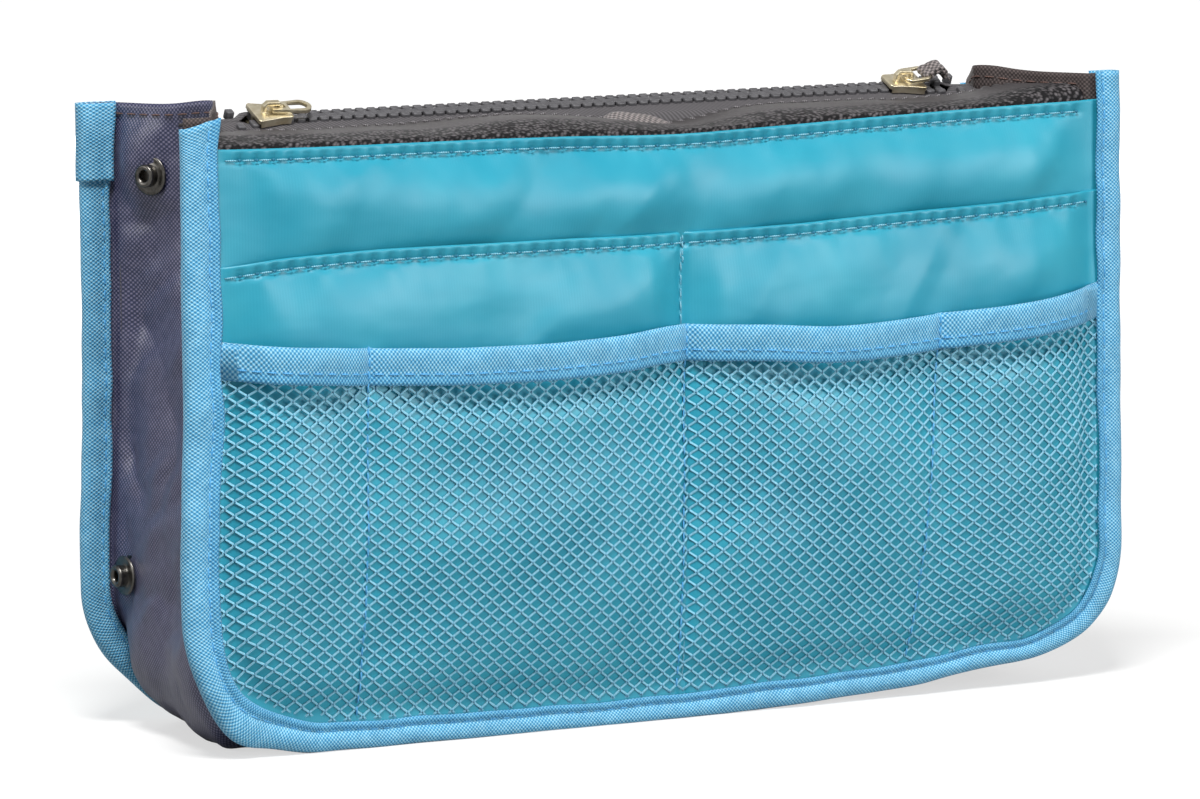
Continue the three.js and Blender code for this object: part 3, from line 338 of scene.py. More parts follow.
def tell_cut(name):
    width, length, area = cut_sizes[name]
    print(f"{name}: {width / MM:.0f} x {length / MM:.0f} mm, {area / CM**2:.0f} cm2")


print("cuts so far:", len(cut_sizes))


def apply_modifier(piece, kind, **settings):
    modifier = piece.modifiers.new(kind, kind)
    for key, value in settings.items():
        setattr(modifier, key, value)
    bpy.context.view_layer.objects.active = piece
    bpy.ops.object.modifier_apply(modifier=modifier.name)


def put_in_scene(piece):
    """Shows a new piece, the only selected one, so that operators work on it."""
    bpy.ops.object.select_all(action="DESELECT")
    bpy.context.scene.collection.objects.link(piece)
    bpy.context.view_layer.objects.active = piece
    piece.select_set(True)
    return piece


def wear(piece, finish, slot, *nodes, body="bag", held=None, rests_on=()):
    """Gives a piece its finish and its body in the frame, and hides the CAD nodes it replaces."""
    piece.data.materials.clear()
    piece.data.materials.append(finish)
    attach(piece, body)
    if nodes:
        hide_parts(*nodes)
    return piece


# %% Rows and columns of a cut


def steps(low, high, step):
    return np.linspace(low, high, max(2, int(round((high - low) / step)) + 1))


def with_fine(base, *places, reach=3.0, step=0.75):
    """The same columns, with closer ones round each sewn line."""
    fine = [p + np.arange(-reach, reach + 0.01, step) for p in places]
    keep = [b for b in base if all(abs(b - p) > reach + step / 2 for p in places)]
    return np.sort(np.concatenate([keep, *fine]))


print("columns round a seam:", with_fine(steps(-6, 6, 3), 0))

# %% [markdown]
# ## Colours and nodes
# A maker writes colours as hex codes. Blender's nodes want linear light, so one function changes them. A
# second small function adds a node, sets it up and links it, and every finish is made with it.

# %% Colours


def linear(code):
    """An sRGB hex code as linear light, with full alpha."""
    parts = [int(code[i : i + 2], 16) / 255 for i in (0, 2, 4)]
    return (*(c / 12.92 if c <= 0.04045 else ((c + 0.055) / 1.055) ** 2.4 for c in parts), 1)


print("white is", linear("FFFFFF")[:3])

# %% Nodes and pattern scales


def add(tree, kind, settings=(), links=()):
    """One node with its settings, each a property, an input or a ramp's stops, and what feeds it."""
    made = tree.nodes.new(f"ShaderNode{kind}")
    for key, value in dict(settings).items():
        if key == "stops":
            set_stops(made.color_ramp.elements, value)
        elif isinstance(key, str) and hasattr(made, key):
            setattr(made, key, value)
        else:
            made.inputs[key].default_value = value
    feed(tree, made, links)
    return made


def feed(tree, node, links):
    """Links sources to a node's inputs; a source is a socket, or a node whose first output is meant."""
    for key, source in dict(links).items():
        tree.links.new(getattr(source, "outputs", [source])[0], node.inputs[key])


def set_stops(elements, stops):
    for spot, _ in stops[1:-1]:
        elements.new(spot)
    for element, (spot, code) in zip(elements, stops):
        element.position = spot
        element.color = linear(code)


def finish_named(name, **sockets):
    """A new material with its shader's plain values set."""
    material = bpy.data.materials.new(name)
    material.use_nodes = True
    shader = material.node_tree.nodes["Principled BSDF"]
    for key, value in sockets.items():
        shader.inputs[key.replace("_", " ")].default_value = value
    return material, material.node_tree, shader


WAVE_PERIOD = 0.31416
NOISE_SPAN = {"From Min": 0.3, "From Max": 0.7}


def bands(mm):
    """The Wave texture's scale for one band every so many millimetres."""
    return WAVE_PERIOD / (mm * MM)


def per(mm):
    """A texture's scale for features of about so many millimetres."""
    return 1 / (mm * MM)


print("wave scale for threads 1 mm apart:", round(bands(1), 1))

# %% [markdown]
# ## Woven finishes
# Most of this pouch is woven cloth, and a weave is two sets of threads that pass over and under each
# other. Two sets of waves along the cloth's own UV directions, multiplied, give that over and under. The
# same recipe with other thread sizes, colours and bumps makes the binding tape, the oxford cloth and the
# webbing. Threads finer than a pixel are drawn coarser so that they still show. A picture of cloth could
# be wrapped on, but waves stay sharp from near.

# %% One weave recipe
TAPE_THREAD = 0.72


def woven(name, thread_mm, dark, middle, light, bump, shade_mm, skew=1.0, lip=None, **sockets):
    material, tree, shader = finish_named(name, **sockets)
    uv = add(tree, "TexCoord").outputs["UV"]
    spread = add(tree, "TexNoise", {"Scale": per(4 * thread_mm), "Detail": 1}, {"Vector": uv})
    over = []
    for axis, mm in (("X", 2 * thread_mm), ("Y", 2 * thread_mm * skew)):
        threads = {"bands_direction": axis, "Scale": bands(mm), "Distortion": 0.5, "Detail": 0}
        wave = add(tree, "TexWave", threads, {"Vector": uv}).outputs["Fac"]
        over.append(add(tree, "Math", {"operation": "MULTIPLY_ADD", 1: 2, 2: -1}, {0: wave}))
    crossing = add(tree, "Math", {"operation": "MULTIPLY"}, {0: over[0], 1: over[1]})
    height = add(tree, "Math", {"operation": "MULTIPLY_ADD", 1: 0.5, 2: 0.5}, {0: crossing})
    uneven = add(tree, "Math", {"operation": "MULTIPLY_ADD", 1: 0.35}, {0: spread, 2: height})
    centred = add(tree, "Math", {"operation": "SUBTRACT", 1: 0.17}, {0: uneven})
    # The colour follows the weave's height, dark in the hollows between threads and light on the raised
    # crossings: partly the threads' own colours, partly painted shade and painted highlight.
    stops = [(0.2, dark), (0.5, middle), (0.86, light)]
    colour = add(tree, "ValToRGB", {"stops": stops}, {"Fac": centred})
    if lip:
        # The strip between the stitches and the tape's edge is multiplied by a deeper blue.
        across = add(tree, "SeparateXYZ", {}, {0: uv})
        span = {"From Min": (lip[0] - 0.3) * MM, "From Max": (lip[0] + 0.3) * MM, "To Min": 1, "To Max": 0}
        edge = add(tree, "MapRange", span, {"Value": across})
        deeper = {"data_type": "RGBA", "blend_type": "MULTIPLY", 7: linear(lip[1])}
        colour = add(tree, "Mix", deeper, {0: edge, 6: colour}).outputs[2]
    shade = add(tree, "TexNoise", {"Scale": per(shade_mm), "Detail": 2}, {"Vector": uv})
    tone = add(tree, "MapRange", {**NOISE_SPAN, "To Min": 0.9, "To Max": 1.07}, {"Value": shade})
    tinted = add(tree, "VectorMath", {"operation": "SCALE"}, {0: colour, "Scale": tone})
    raised = add(tree, "Bump", {"Strength": 1, "Distance": bump * MM}, {"Height": height})
    feed(tree, shader, {"Base Color": tinted, "Normal": raised})
    return material


print("wave scale for tape threads:", round(bands(2 * TAPE_THREAD), 1))

# %% Tape, oxford, lining and webbing finishes
# Polyester binding tape, plain woven: matt blue with a pale dot where each weft thread comes up.
tape_finish = woven(
    "woven_polyester_binding_tape", TAPE_THREAD, "2C84B6", "5EADD2", "9FD3EA", 0.2, 9,
    skew=0.74, lip=(2.9, "D2EBF4"), Roughness=0.7, Sheen_Weight=0.15, Sheen_Roughness=0.4,
)
# Coated oxford nylon: two tones of thread, grey over navy, with the soft gloss of its coating.
oxford_finish = woven(
    "coated_oxford_nylon", 0.6, "1B203F", "2F3557", "77738B", 0.05, 20,
    Roughness=0.34, Sheen_Weight=0.05, Specular_IOR_Level=0.75,
)
# The bare reverse of that cloth: no coating, so it is dull and browner, and painted darker still, as painted
# shade for where it shows inside the fold.
reverse_finish = woven("oxford_nylon_reverse", 0.62, "2C2524", "433A39", "5E5351", 0.12, 22, Roughness=0.8)
# Plain lining cloth: dull grey, hardly any gloss.
lining_finish = woven("plain_woven_lining", 0.5, "45434A", "55535A", "68666C", 0.08, 25, Roughness=0.85)
# Polypropylene webbing: thick yarns, each painted lighter where it rises, a painted highlight for the light
# they catch one by one.
webbing_finish = woven(
    "woven_polypropylene_webbing", 0.85, "3C3736", "676060", "938987", 0.3, 9,
    Roughness=0.65, Sheen_Weight=0.2,
)
print("woven finishes:", [m.name for m in (tape_finish, oxford_finish, lining_finish, webbing_finish)])

# %% [markdown]
# ## Satin nylon
# The faces are satin-woven nylon: long floating threads lie almost flat, so light slides over them in
# soft patches and every crease shows as a paler or darker streak. The weave itself is too fine to see, so
# it is drawn about three times as coarse and very shallow. The crinkles are what the eye reads, so they
# get a bump of their own on top of the modelled folds.

# %% Satin finish


def satin(name, shade, body, light):
    gloss = {"Roughness": 0.4, "Specular_IOR_Level": 0.5}
    sheen = {"Sheen_Weight": 0.12, "Sheen_Roughness": 0.35, "Sheen_Tint": linear(light)}
    material, tree, shader = finish_named(name, **gloss, **sheen)
    uv = add(tree, "TexCoord").outputs["UV"]
    # Soft noise patches between the shade, body and light colours: painted light and shade standing in for
    # the satin's sheen.
    patches = {"Scale": per(34), "Detail": 3, "Roughness": 0.55}
    painted_sheen_patches = add(tree, "TexNoise", patches, {"Vector": uv})
    stops = [(0.28, shade), (0.5, body), (0.74, light)]
    colour = add(tree, "ValToRGB", {"stops": stops}, {"Fac": painted_sheen_patches})
    rib = {"bands_direction": "X", "Scale": bands(0.8), "Distortion": 0.4}
    ribs = add(tree, "TexWave", rib, {"Vector": uv}).outputs["Fac"]
    stretch = add(tree, "Mapping", {"Scale": (per(24), per(13), 1)}, {"Vector": uv})
    soft = {"Scale": 1, "Detail": 1.5, "Distortion": 0.2}
    crinkle = add(tree, "TexNoise", soft, {"Vector": stretch})
    span = {**NOISE_SPAN, "To Min": 0.36, "To Max": 0.5}
    rough = add(tree, "MapRange", span, {"Value": crinkle})
    fine = add(tree, "Bump", {"Strength": 1, "Distance": 0.006 * MM}, {"Height": ribs})
    deep = {"Strength": 1, "Distance": 0.6 * MM}
    creased = add(tree, "Bump", deep, {"Height": crinkle, "Normal": fine})
    feed(tree, shader, {"Base Color": colour, "Roughness": rough, "Normal": creased})
    return material


# The satin's colour in painted shade, its body colour, and in painted light.
satin_finish = satin("satin_woven_nylon", "1D8EA7", "2696AE", "35A1B7")
print("satin finish:", satin_finish.name)

# %% [markdown]
# ## Facing, zip tape and thread
# The strip round the mouth is a pebbled cloth: small rounded bumps packed side by side, which Voronoi
# cells give. Zip tape is a twill, so its ribs run at a slant. Sewing thread is twisted, and a slanted
# wave on it reads as the twist.

# %% Pebbled facing finish
FACING_LIP = 15.5


def pebbled(name, pebble_mm, dark, light, pressed_from, pressed_code):
    material, tree, shader = finish_named(name, Roughness=0.72, Specular_IOR_Level=0.2)
    uv = add(tree, "TexCoord").outputs["UV"]
    pebbles = add(tree, "TexVoronoi", {"Scale": per(pebble_mm), "Randomness": 0.75}, {"Vector": uv})
    # Each pebble is painted light at its raised middle and dark towards the gaps: painted highlight and
    # painted shade on the facing's own dark grey.
    painted_pebble_light = add(tree, "ValToRGB", {"stops": [(0.15, light), (0.6, dark)]}, {"Fac": pebbles})
    # The strip by the zip is pressed flat by the stitching, so its pebbles fade into a smooth lip.
    across = add(tree, "SeparateXYZ", {}, {0: uv})
    span = {"From Min": (pressed_from - 2) * MM, "From Max": (pressed_from + 2) * MM, "To Max": 0.85}
    pressed = add(tree, "MapRange", span, {"Value": across})
    lip = {"data_type": "RGBA", 7: linear(pressed_code)}
    colour = add(tree, "Mix", lip, {0: pressed, 6: painted_pebble_light}).outputs[2]
    strength = add(tree, "Math", {"operation": "SUBTRACT", 0: 1}, {1: pressed})
    bump = {"Distance": 0.3 * MM, "invert": True}
    raised = add(tree, "Bump", bump, {"Strength": strength, "Height": pebbles})
    feed(tree, shader, {"Base Color": colour, "Normal": raised})
    return material


facing_finish = pebbled("pebbled_polyester_facing", 1.25, "100F11", "676365", FACING_LIP + 12, "474445")
print("facing finish:", facing_finish.name)

# %% Twill and thread finishes


def slanted(name, rib_mm, dark, light, bump, coords="UV", angle=45, **sockets):
    material, tree, shader = finish_named(name, **sockets)
    place = add(tree, "TexCoord").outputs[coords]
    slant = (0, math.radians(angle / 3), math.radians(angle))
    turned = add(tree, "Mapping", {"Rotation": slant}, {"Vector": place})
    rib = {"bands_direction": "X", "Scale": bands(rib_mm), "Distortion": 0.6, "Detail": 1}
    ribs = add(tree, "TexWave", rib, {"Vector": turned}).outputs["Fac"]
    # The colour follows the ribs, lighter where they rise and darker in the grooves: painted light and shade
    # along with the bump.
    colour = add(tree, "ValToRGB", {"stops": [(0, dark), (1, light)]}, {"Fac": ribs})
    raised = add(tree, "Bump", {"Strength": 1, "Distance": bump * MM}, {"Height": ribs})
    feed(tree, shader, {"Base Color": colour, "Normal": raised})
    return material


zip_tape_finish = slanted("twill_zip_tape", 0.9, "3D3B3D", "5D5A5D", 0.12, Roughness=0.75)
satin_thread = slanted(
    "satin_blue_sewing_thread", 0.5, "4396B1", "90C9D8", 0.06, "Object", 40, Roughness=0.5, Sheen_Weight=0.2
)
# Dark teal for the small pieces at the needle holes: painted shade of the dimples, not a colour of the
# cloth.
needle_shade_finish = slanted("shaded_needle_hole", 0.6, "17607A", "277E9A", 0.03, "Object", 20, Roughness=0.8)
tape_thread = slanted("tape_blue_sewing_thread", 0.5, "3A90CA", "62B2E0", 0.06, "Object", 40, Roughness=0.55)
dark_thread = slanted("dark_grey_sewing_thread", 0.5, "454244", "858284", 0.06, "Object", 40, Roughness=0.6)
brown_thread = slanted("brown_sewing_thread", 0.5, "3D2E2B", "7D5F56", 0.06, "Object", 40, Roughness=0.6)
knot_finish = slanted("net_knot_thread", 0.4, "4A7F9C", "6FA6BE", 0.05, "Object", 35, Roughness=0.7)
print("thread finishes:", satin_thread.name, tape_thread.name, dark_thread.name, brown_thread.name)

# %% [markdown]
# ## Net yarn
# Each strand of the net is two fine yarns knitted side by side. Across a strand the eye sees light, dark
# and light again, so the colour follows the strand's own UV across it: light on the two yarns, and
# painted shade in the groove between them and at the strand's edges.

# %% Net yarn finish
net_finish, tree, shader = finish_named("knitted_net_yarn", Roughness=0.6, Sheen_Weight=0.25)
uv = add(tree, "TexCoord").outputs["UV"]
across = add(tree, "SeparateXYZ", {}, {0: uv})
stops = [(0, "66B6D4"), (0.2, "92CFE4"), (0.5, "74BEDA"), (0.8, "92CFE4"), (1, "66B6D4")]
colour = add(tree, "ValToRGB", {"stops": stops}, {"Fac": across})
ply = {"bands_direction": "Y", "Scale": bands(0.7)}
twist = add(tree, "TexWave", ply, {"Vector": uv}).outputs["Fac"]
raised = add(tree, "Bump", {"Strength": 1, "Distance": 0.05 * MM}, {"Height": twist})
feed(tree, shader, {"Base Color": colour, "Normal": raised})
print("net finish:", net_finish.name)

# %% [markdown]
# ## Moulded teeth and plated metal
# The zip's teeth are moulded acetal, smooth but not shiny, with faint marks from the mould. The sliders
# are zinc castings with a pale gold plating that goes a little dull where fingers rub. The press studs
# are stamped steel, plated dark. One recipe serves all three: a fine noise moves colour, gloss and bump
# together, as wear does.

# %% Acetal, gold and gunmetal finishes


def solid_finish(name, dark, light, rough, grain_mm, bump, metallic):
    material, tree, shader = finish_named(name, Metallic=metallic)
    place = add(tree, "TexCoord").outputs["Object"]
    grain = {"Scale": per(grain_mm), "Detail": 4, "Roughness": 0.6}
    marks = add(tree, "TexNoise", grain, {"Vector": place})
    colour = add(tree, "ValToRGB", {"stops": [(0.3, dark), (0.7, light)]}, {"Fac": marks})
    span = {**NOISE_SPAN, "To Min": rough - 0.07, "To Max": rough + 0.09}
    gloss = add(tree, "MapRange", span, {"Value": marks})
    raised = add(tree, "Bump", {"Strength": 1, "Distance": bump * MM}, {"Height": marks})
    feed(tree, shader, {"Base Color": colour, "Roughness": gloss, "Normal": raised})
    return material


acetal_finish = solid_finish("moulded_acetal", "474649", "5C5B5E", 0.38, 1.4, 0.02, 0)
gold_finish = solid_finish("pale_gold_plated_zinc", "D2C4A0", "ECE4CE", 0.38, 4.0, 0.008, 1)
gunmetal_finish = solid_finish("dark_plated_steel", "4E4C49", "7A7772", 0.32, 2.0, 0.02, 1)
print("hard finishes:", acetal_finish.name, gold_finish.name, gunmetal_finish.name)

# %% [markdown]
# ## Stitches
# A row of stitches is one small spindle of thread, copied along a line. Each copy lies along the line, a
# little sunk into the cloth. A sphere with few faces, pulled long, is enough at this size. A dashed
# texture would lie flat, and these catch light and throw a shadow.

# %% Model one stitch and one knot


def shape_of(model, unit=1):
    """The points and faces of a model, to be copied many times. The model itself goes."""
    points = np.array([v.co for v in model.data.vertices]) / unit
    faces = [tuple(p.vertices) for p in model.data.polygons]
    bpy.data.objects.remove(model)
    return points, faces


def small_ball(segments, rings):
    bpy.ops.object.select_all(action="DESELECT")
    bpy.ops.mesh.primitive_uv_sphere_add(segments=segments, ring_count=rings, radius=1)
    return shape_of(bpy.context.object)


STITCH_SHAPE = small_ball(6, 6)
KNOT_SHAPE = small_ball(5, 4)
print("a stitch has", len(STITCH_SHAPE[1]), "faces")

# %% Copy a small shape along a line


def copies(name, shape, origins, axes):
    """One mesh of many copies of a shape; axes holds each copy's three scaled directions."""
    points, faces = shape
    placed = np.einsum("pk,nkc->npc", points, axes) + origins[:, None, :]
    total = [tuple(i + n * len(points) for i in f) for n in range(len(origins)) for f in faces]
    return mesh_piece(name, placed.reshape(-1, 3), total)


def mesh_piece(name, points, faces, uv=None):
    mesh = bpy.data.meshes.new(name)
    mesh.from_pydata((np.asarray(points) * MM).tolist(), [], faces)
    if uv is not None:
        loops = np.empty(len(mesh.loops), int)
        mesh.loops.foreach_get("vertex_index", loops)
        mesh.uv_layers.new(name="flat").data.foreach_set("uv", np.asarray(uv)[loops].ravel())
    mesh.polygons.foreach_set("use_smooth", np.ones(len(mesh.polygons), bool))
    return put_in_scene(bpy.data.objects.new(name, mesh))


def along_line(line, pitch):
    """Even places along a line, with the direction of the line at each."""
    line = np.column_stack(settle(*np.asarray(line, float).T))
    run = run_along(line)
    at = np.arange(pitch / 2, run[-1], pitch)

    def pick(s):
        return np.column_stack([np.interp(s, run, line[:, k]) for k in range(3)])

    heading = pick(np.minimum(at + 0.6, run[-1])) - pick(np.maximum(at - 0.6, 0))
    return pick(at), heading / np.linalg.norm(heading, axis=1, keepdims=True)


def row_along(name, shape, line, outward, pitch, size, shift=0.0):
    """Copies of a small shape along a line, each with a length, a width and a height."""
    places, heading = along_line(line, pitch)
    out = np.broadcast_to(np.asarray(outward, float), places.shape)
    side = np.cross(heading, out)
    side /= np.linalg.norm(side, axis=1, keepdims=True)
    out = np.cross(side, heading)
    axes = np.stack([way * part / 2 for way, part in zip((heading, side, out), size)], axis=1)
    return copies(name, shape, places + heading * shift, axes)


print("stitches on 100 mm:", len(along_line([(-50, 0, 90), (50, 0, 90)], 4)[0]))

# %% Sew a row of stitches
# The size of the dark piece laid at each needle hole, which paints the shade of its dimple.
NEEDLE_SHADE_SIZE = (1.3, 0.95, 0.5)
sewn_with = {}


def sew(name, line, thread, slot, outward, sheet, pitch, length, width, needle_shade=False):
    """A row of stitches along a line of points, and small dark pieces at the needle holes, painted shade for
    the dimples there.
    """
    rows = [wear(row_along(name, STITCH_SHAPE, line, outward, pitch, (length, width, width)), thread, slot)]
    if needle_shade:
        needle_shade_row = row_along(f"{name}_holes", KNOT_SHAPE, line, outward, pitch, NEEDLE_SHADE_SIZE, pitch / 2)
        rows.append(wear(needle_shade_row, needle_shade_finish, slot))
    sewn_with.setdefault(sheet.name, []).extend(rows)


print("a needle hole is", NEEDLE_SHADE_SIZE[0], "mm long")

# %% [markdown]
# ## The two satin faces
# Each face is a panel with a turned hem along its top, sewn with a line of stitches. The hem is thicker
# than the cloth below it, the stitches pull a fine groove, and the cloth puckers on both sides of them.
# Broad folds run slantwise over it, because the pouch is soft and a little empty. Sculpting could make
# them too, but sums of noise give the same folds on every run.

# %% The sewn hem
HEM_LINE, HEM_BELOW = 3.0, 4.5
HEM_PITCH = 4.8
HEM_HEIGHT, HEM_EDGE, HEM_SOFT = 3.9, 0.7, 1.6
HEM_THICK, HEM_GROOVE, HEM_ROUND, HEM_DENT = 0.6, 0.3, 0.3, 1.1
GROOVE_WIDE, DENT_WIDE, DENT_REACH = 0.7, 1.2, 4.8
SHORT_PUCKERS, LONG_PUCKERS = (0.42, 3.8, 14), (1.1, 8, 40)


def to_needle_hole(line, pitch):
    """For a row of stitches, a function of x: how far the nearest needle hole is."""
    run = run_along(np.column_stack(settle(*line.T)))
    return lambda x: pitch * (0.5 - np.abs(np.interp(x, line[:, 0], run) / pitch % 1 - 0.5))


def hem(x, z, top, share, from_hole):
    """Extra depth of a turned hem with the groove of its stitches and a dent at each needle hole."""
    band = smooth((z - top + HEM_HEIGHT) / HEM_SOFT)
    groove = hump((z - top + HEM_LINE) / GROOVE_WIDE)
    edge = smooth((z - top + HEM_EDGE) / HEM_EDGE)
    reach = smooth((top - z) / 2.0) * smooth((z - top + DENT_REACH) / HEM_SOFT)
    dent = hump(from_hole(x) / DENT_WIDE) * reach
    return share * (HEM_THICK * band - HEM_GROOVE * groove - HEM_ROUND * edge - HEM_DENT * dent)


def pucker(x, z, top, seed):
    """Short upright wrinkles on both sides of the stitches, which the thread draws together."""
    below = np.clip(top - HEM_LINE - z, 0, None)
    short = folds(x, z, SHORT_PUCKERS, seed) * np.exp(-np.abs(top - HEM_LINE - z) / 3.5)
    long = folds(x + 0.35 * z, z, LONG_PUCKERS, seed + 1) * np.exp(-below / 9) * smooth(below / 3)
    return short + long


print("the hem is", HEM_HEIGHT, "mm high, with a stitch every", HEM_PITCH, "mm")

# %% Folds and slack in the satin
BROAD_FOLDS, SLANT_FOLDS = (1.3, 42, 19), (0.6, 14, 26)
CREASE_DEEP, CREASE_SHARP = 0.8, 4.5
CREASE_WIDE, CREASE_TALL = 34, 60
FOLD_LEVEL = 0.3
FOLD_FADE = 14
ROLL_UNEVEN = (0.5, 38, 1)


def satin_folds(x, z, seed):
    """Wide soft dents, narrower slanting ones and a few creases, which fade out at the binding."""
    broad = folds(x + 0.5 * z, z - 0.15 * x, BROAD_FOLDS, seed)
    slant = folds(x - 0.8 * z, z + 0.3 * x, SLANT_FOLDS, seed + 3)
    lines = np.abs(ripple(x - 0.6 * z, z + 0.2 * x, CREASE_WIDE, CREASE_TALL, seed + 5))
    crease = CREASE_DEEP * np.clip(1 - CREASE_SHARP * lines, 0, 1)
    return (broad + slant + crease - FOLD_LEVEL) * off_edge(x, z, FOLD_FADE)


def roll(x, z, low, high, amount, seed):
    """Slack cloth between two lines stands out like a soft roll, uneven along its length."""
    t = np.clip((z - low(x)) / (high(x) - low(x)), 0, 1)
    uneven = 0.8 + folds(x, 0 * x, ROLL_UNEVEN, seed)
    return amount * uneven * np.sin(math.pi * t**1.2) * off_edge(x, z, 24)


print("at one place the folds stand out", round(float(satin_folds(0, 150, 1.3)), 2), "mm")

# %% Lay a hemmed cut on a face
HEM_SEWING = (HEM_PITCH, 3.9, 0.5)
HEM_ENDS = {"panel": 133, "slip_pocket": 134}
HEM_ROWS = {"panel": "hem", "slip_pocket": "slip_hem"}


def face_rows(height, fine_from=8):
    """Rows of a face's cut, closer together along its hem."""
    coarse = steps(0, height - fine_from, 1.9)[:-1]
    return np.concatenate([coarse, steps(height - fine_from, height, 0.6)])


def face_place(side, inset, top, depth, seed, fold_share=1.0, from_hole=None, fold_from=None):
    """How a point of a face's flat cut, x and height, goes to its place on the pouch."""

    def place(u, v):
        x, low = -side * u, inset
        crown = top(x)
        z = low + v * (crown - low) / (top(0 * x) - low)
        x, z = round_corner(x, z)
        kept = fold_share * smooth((z - fold_from(x)) / 12) if fold_from else fold_share
        out = depth(x, z) + kept * satin_folds(x, z, seed)
        if from_hole:
            drawn = pucker(x, z, crown, seed + 7) * off_edge(x, z, FOLD_FADE)
            out = out + hem(x, z, crown, off_edge(x, z, 6), from_hole) + drawn
        return x, side * out, z

    return place


def hemmed_face(name, kind, side, top, inset, columns, depth, seed, ply, fold_share=1.0, fold_from=None):
    """A satin cut on one face of the pouch, with the sewn hem along its top."""
    x = steps(-HEM_ENDS[kind], HEM_ENDS[kind], 1.5)
    z = top(x) - HEM_LINE
    y = side * (depth(x, z) + fold_share * satin_folds(x, z, seed) + 0.18)
    line = np.column_stack((x, y, z))
    dents = to_needle_hole(line, HEM_PITCH)
    place = face_place(side, inset, top, depth, seed, fold_share, dents, fold_from)
    rows = face_rows(float(top(0)) - inset)
    piece = cloth(f"{name}_{kind}_satin", columns, rows, place, ply, (0, side, 0))
    rests_on = [f"{name}_edge_binding"]
    wear(piece, satin_finish, "satin", f"{name}_{kind}", held="stretched", rests_on=rests_on)
    row = f"{name}_{HEM_ROWS[kind]}_stitches"
    sew(row, line, satin_thread, "satin", (0, side, 0.1), piece, *HEM_SEWING, needle_shade=True)
    return piece


print("a cut 160 mm high has", len(face_rows(160)), "rows")

# %% Panels
PANEL_PLY = 0.9
PANEL_INSET = 1.6
PANEL_ROLL = 5.6


def panel(name, side, seed):
    half = HALF_WIDTH - PANEL_INSET

    def depth(x, z):
        slack = roll(x, z, lambda a: slip_top(a) - 7, lambda a: panel_top(a) - HEM_BELOW, PANEL_ROLL, seed)
        return panel_out(x, z) + slack

    columns = steps(-half, half, 1.2)
    hemmed_face(
        name, "panel", side, panel_top, PANEL_INSET, columns, depth, seed, PANEL_PLY,
        fold_from=lambda a: slip_top(a) - 16,
    )


panel("front", FRONT, 1.3)
panel("rear", REAR, 11.3)
tell_cut("front_panel_satin")

# %% [markdown]
# ## Slip pockets
# A slip pocket is a second satin cut on the face, sewn down at its sides, its foot and its middle, so it
# swells into two pillows. Its hem sags between the seams. The middle seam is a deep narrow groove with a
# back-tack at its top, where the machine went over the end twice. The panel's helpers cut it as well,
# with another depth and another top line.

# %% Surface of a slip pocket
SLIP_ROLL = 2.4
SLIP_GROOVE, SLIP_GROOVE_WIDE = 0.8, 1.3
SLIP_FILLED = 0.88
FRONT_SLIP_SEED = 4.6


def slip_surface(x, z, seam, seed, behind_net):
    groove = SLIP_GROOVE * hump((x - seam) / SLIP_GROOVE_WIDE)
    slack = roll(x, z, lambda a: net_top(a) - 8, lambda a: slip_top(a) - HEM_BELOW, SLIP_ROLL, seed)
    swelling = slip_out(x, z, seam) - groove + slack * smooth(np.abs(x - seam) / 12)
    if not behind_net:
        return swelling
    filled = SLIP_FILLED * (net_out(x, z) - slip_out(x, z)) * smooth((net_top(x) - 3 - z) / 20)
    return swelling + filled * off_edge(x, z, 8)


slip_middle = slip_surface(-60, 70, SLIP_SEAM, FRONT_SLIP_SEED, True)
print("the left compartment stands out", round(float(slip_middle), 1), "mm")

# %% Slip pockets
SLIP_PLY = 0.8
SLIP_INSET = 5.6
SLIP_FOLDS = 0.75
SLIP_SEAM_WANDERS = (0.25, 20, 1)
SLIP_SEWING, TACK_SEWING = (3.6, 2.9, 0.4), (2.0, 2.0, 0.5)


def slip_pocket(name, side, seam, seed):
    half = HALF_WIDTH - SLIP_INSET
    columns = with_fine(steps(-half, half, 1.2), -side * seam)

    def depth(x, z):
        return slip_surface(x, z, seam, seed, side == FRONT)

    piece = hemmed_face(
        name, "slip_pocket", side, slip_top, SLIP_INSET, columns, depth, seed, SLIP_PLY,
        fold_share=SLIP_FOLDS,
    )
    z = steps(12, float(slip_top(seam)) - 0.6, 2)
    x = seam + folds(z, 0 * z, SLIP_SEAM_WANDERS, seed)
    line = np.column_stack((x, side * (depth(x, z) + 0.2), z))
    tack = line[-5:] + np.array([0.5, 0.1 * side, 0])
    rows = (("seam_stitches", line, SLIP_SEWING), ("back_tack", tack, TACK_SEWING))
    for row, path, sewing in rows:
        sew(f"{name}_slip_{row}", path, satin_thread, "satin", (0, side, 0), piece, *sewing)


slip_pocket("front", FRONT, SLIP_SEAM, FRONT_SLIP_SEED)
slip_pocket("rear", REAR, 0, 14.6)
tell_cut("front_slip_pocket_satin")

# %% [markdown]
# ## Net pocket
# The net is warp-knitted: yarns run up the cloth in zigzags, and each is looped to its left and right
# neighbours in turn, which leaves staggered diamonds 4.5 mm wide. Here each yarn is one flattened tube
# along such a zigzag, laid over the swelling pocket, with a knot wherever two yarns meet. A texture could
# fake it, but real gaps show the satin behind and throw small shadows on it. Its cut is recorded with the
# size it was cut to, and with the area of its yarns alone, since most of the cut is holes.

# %% Where the net lies
NET_FOOT = 6.8
NET_WAVES = (0.35, 26, 20)
NET_SHIFT_X, NET_SHIFT_Z = (1.1, 55, 48), (1.0, 48, 40)
NET_LIFT = 0.25
NET_HUGS = 0.85


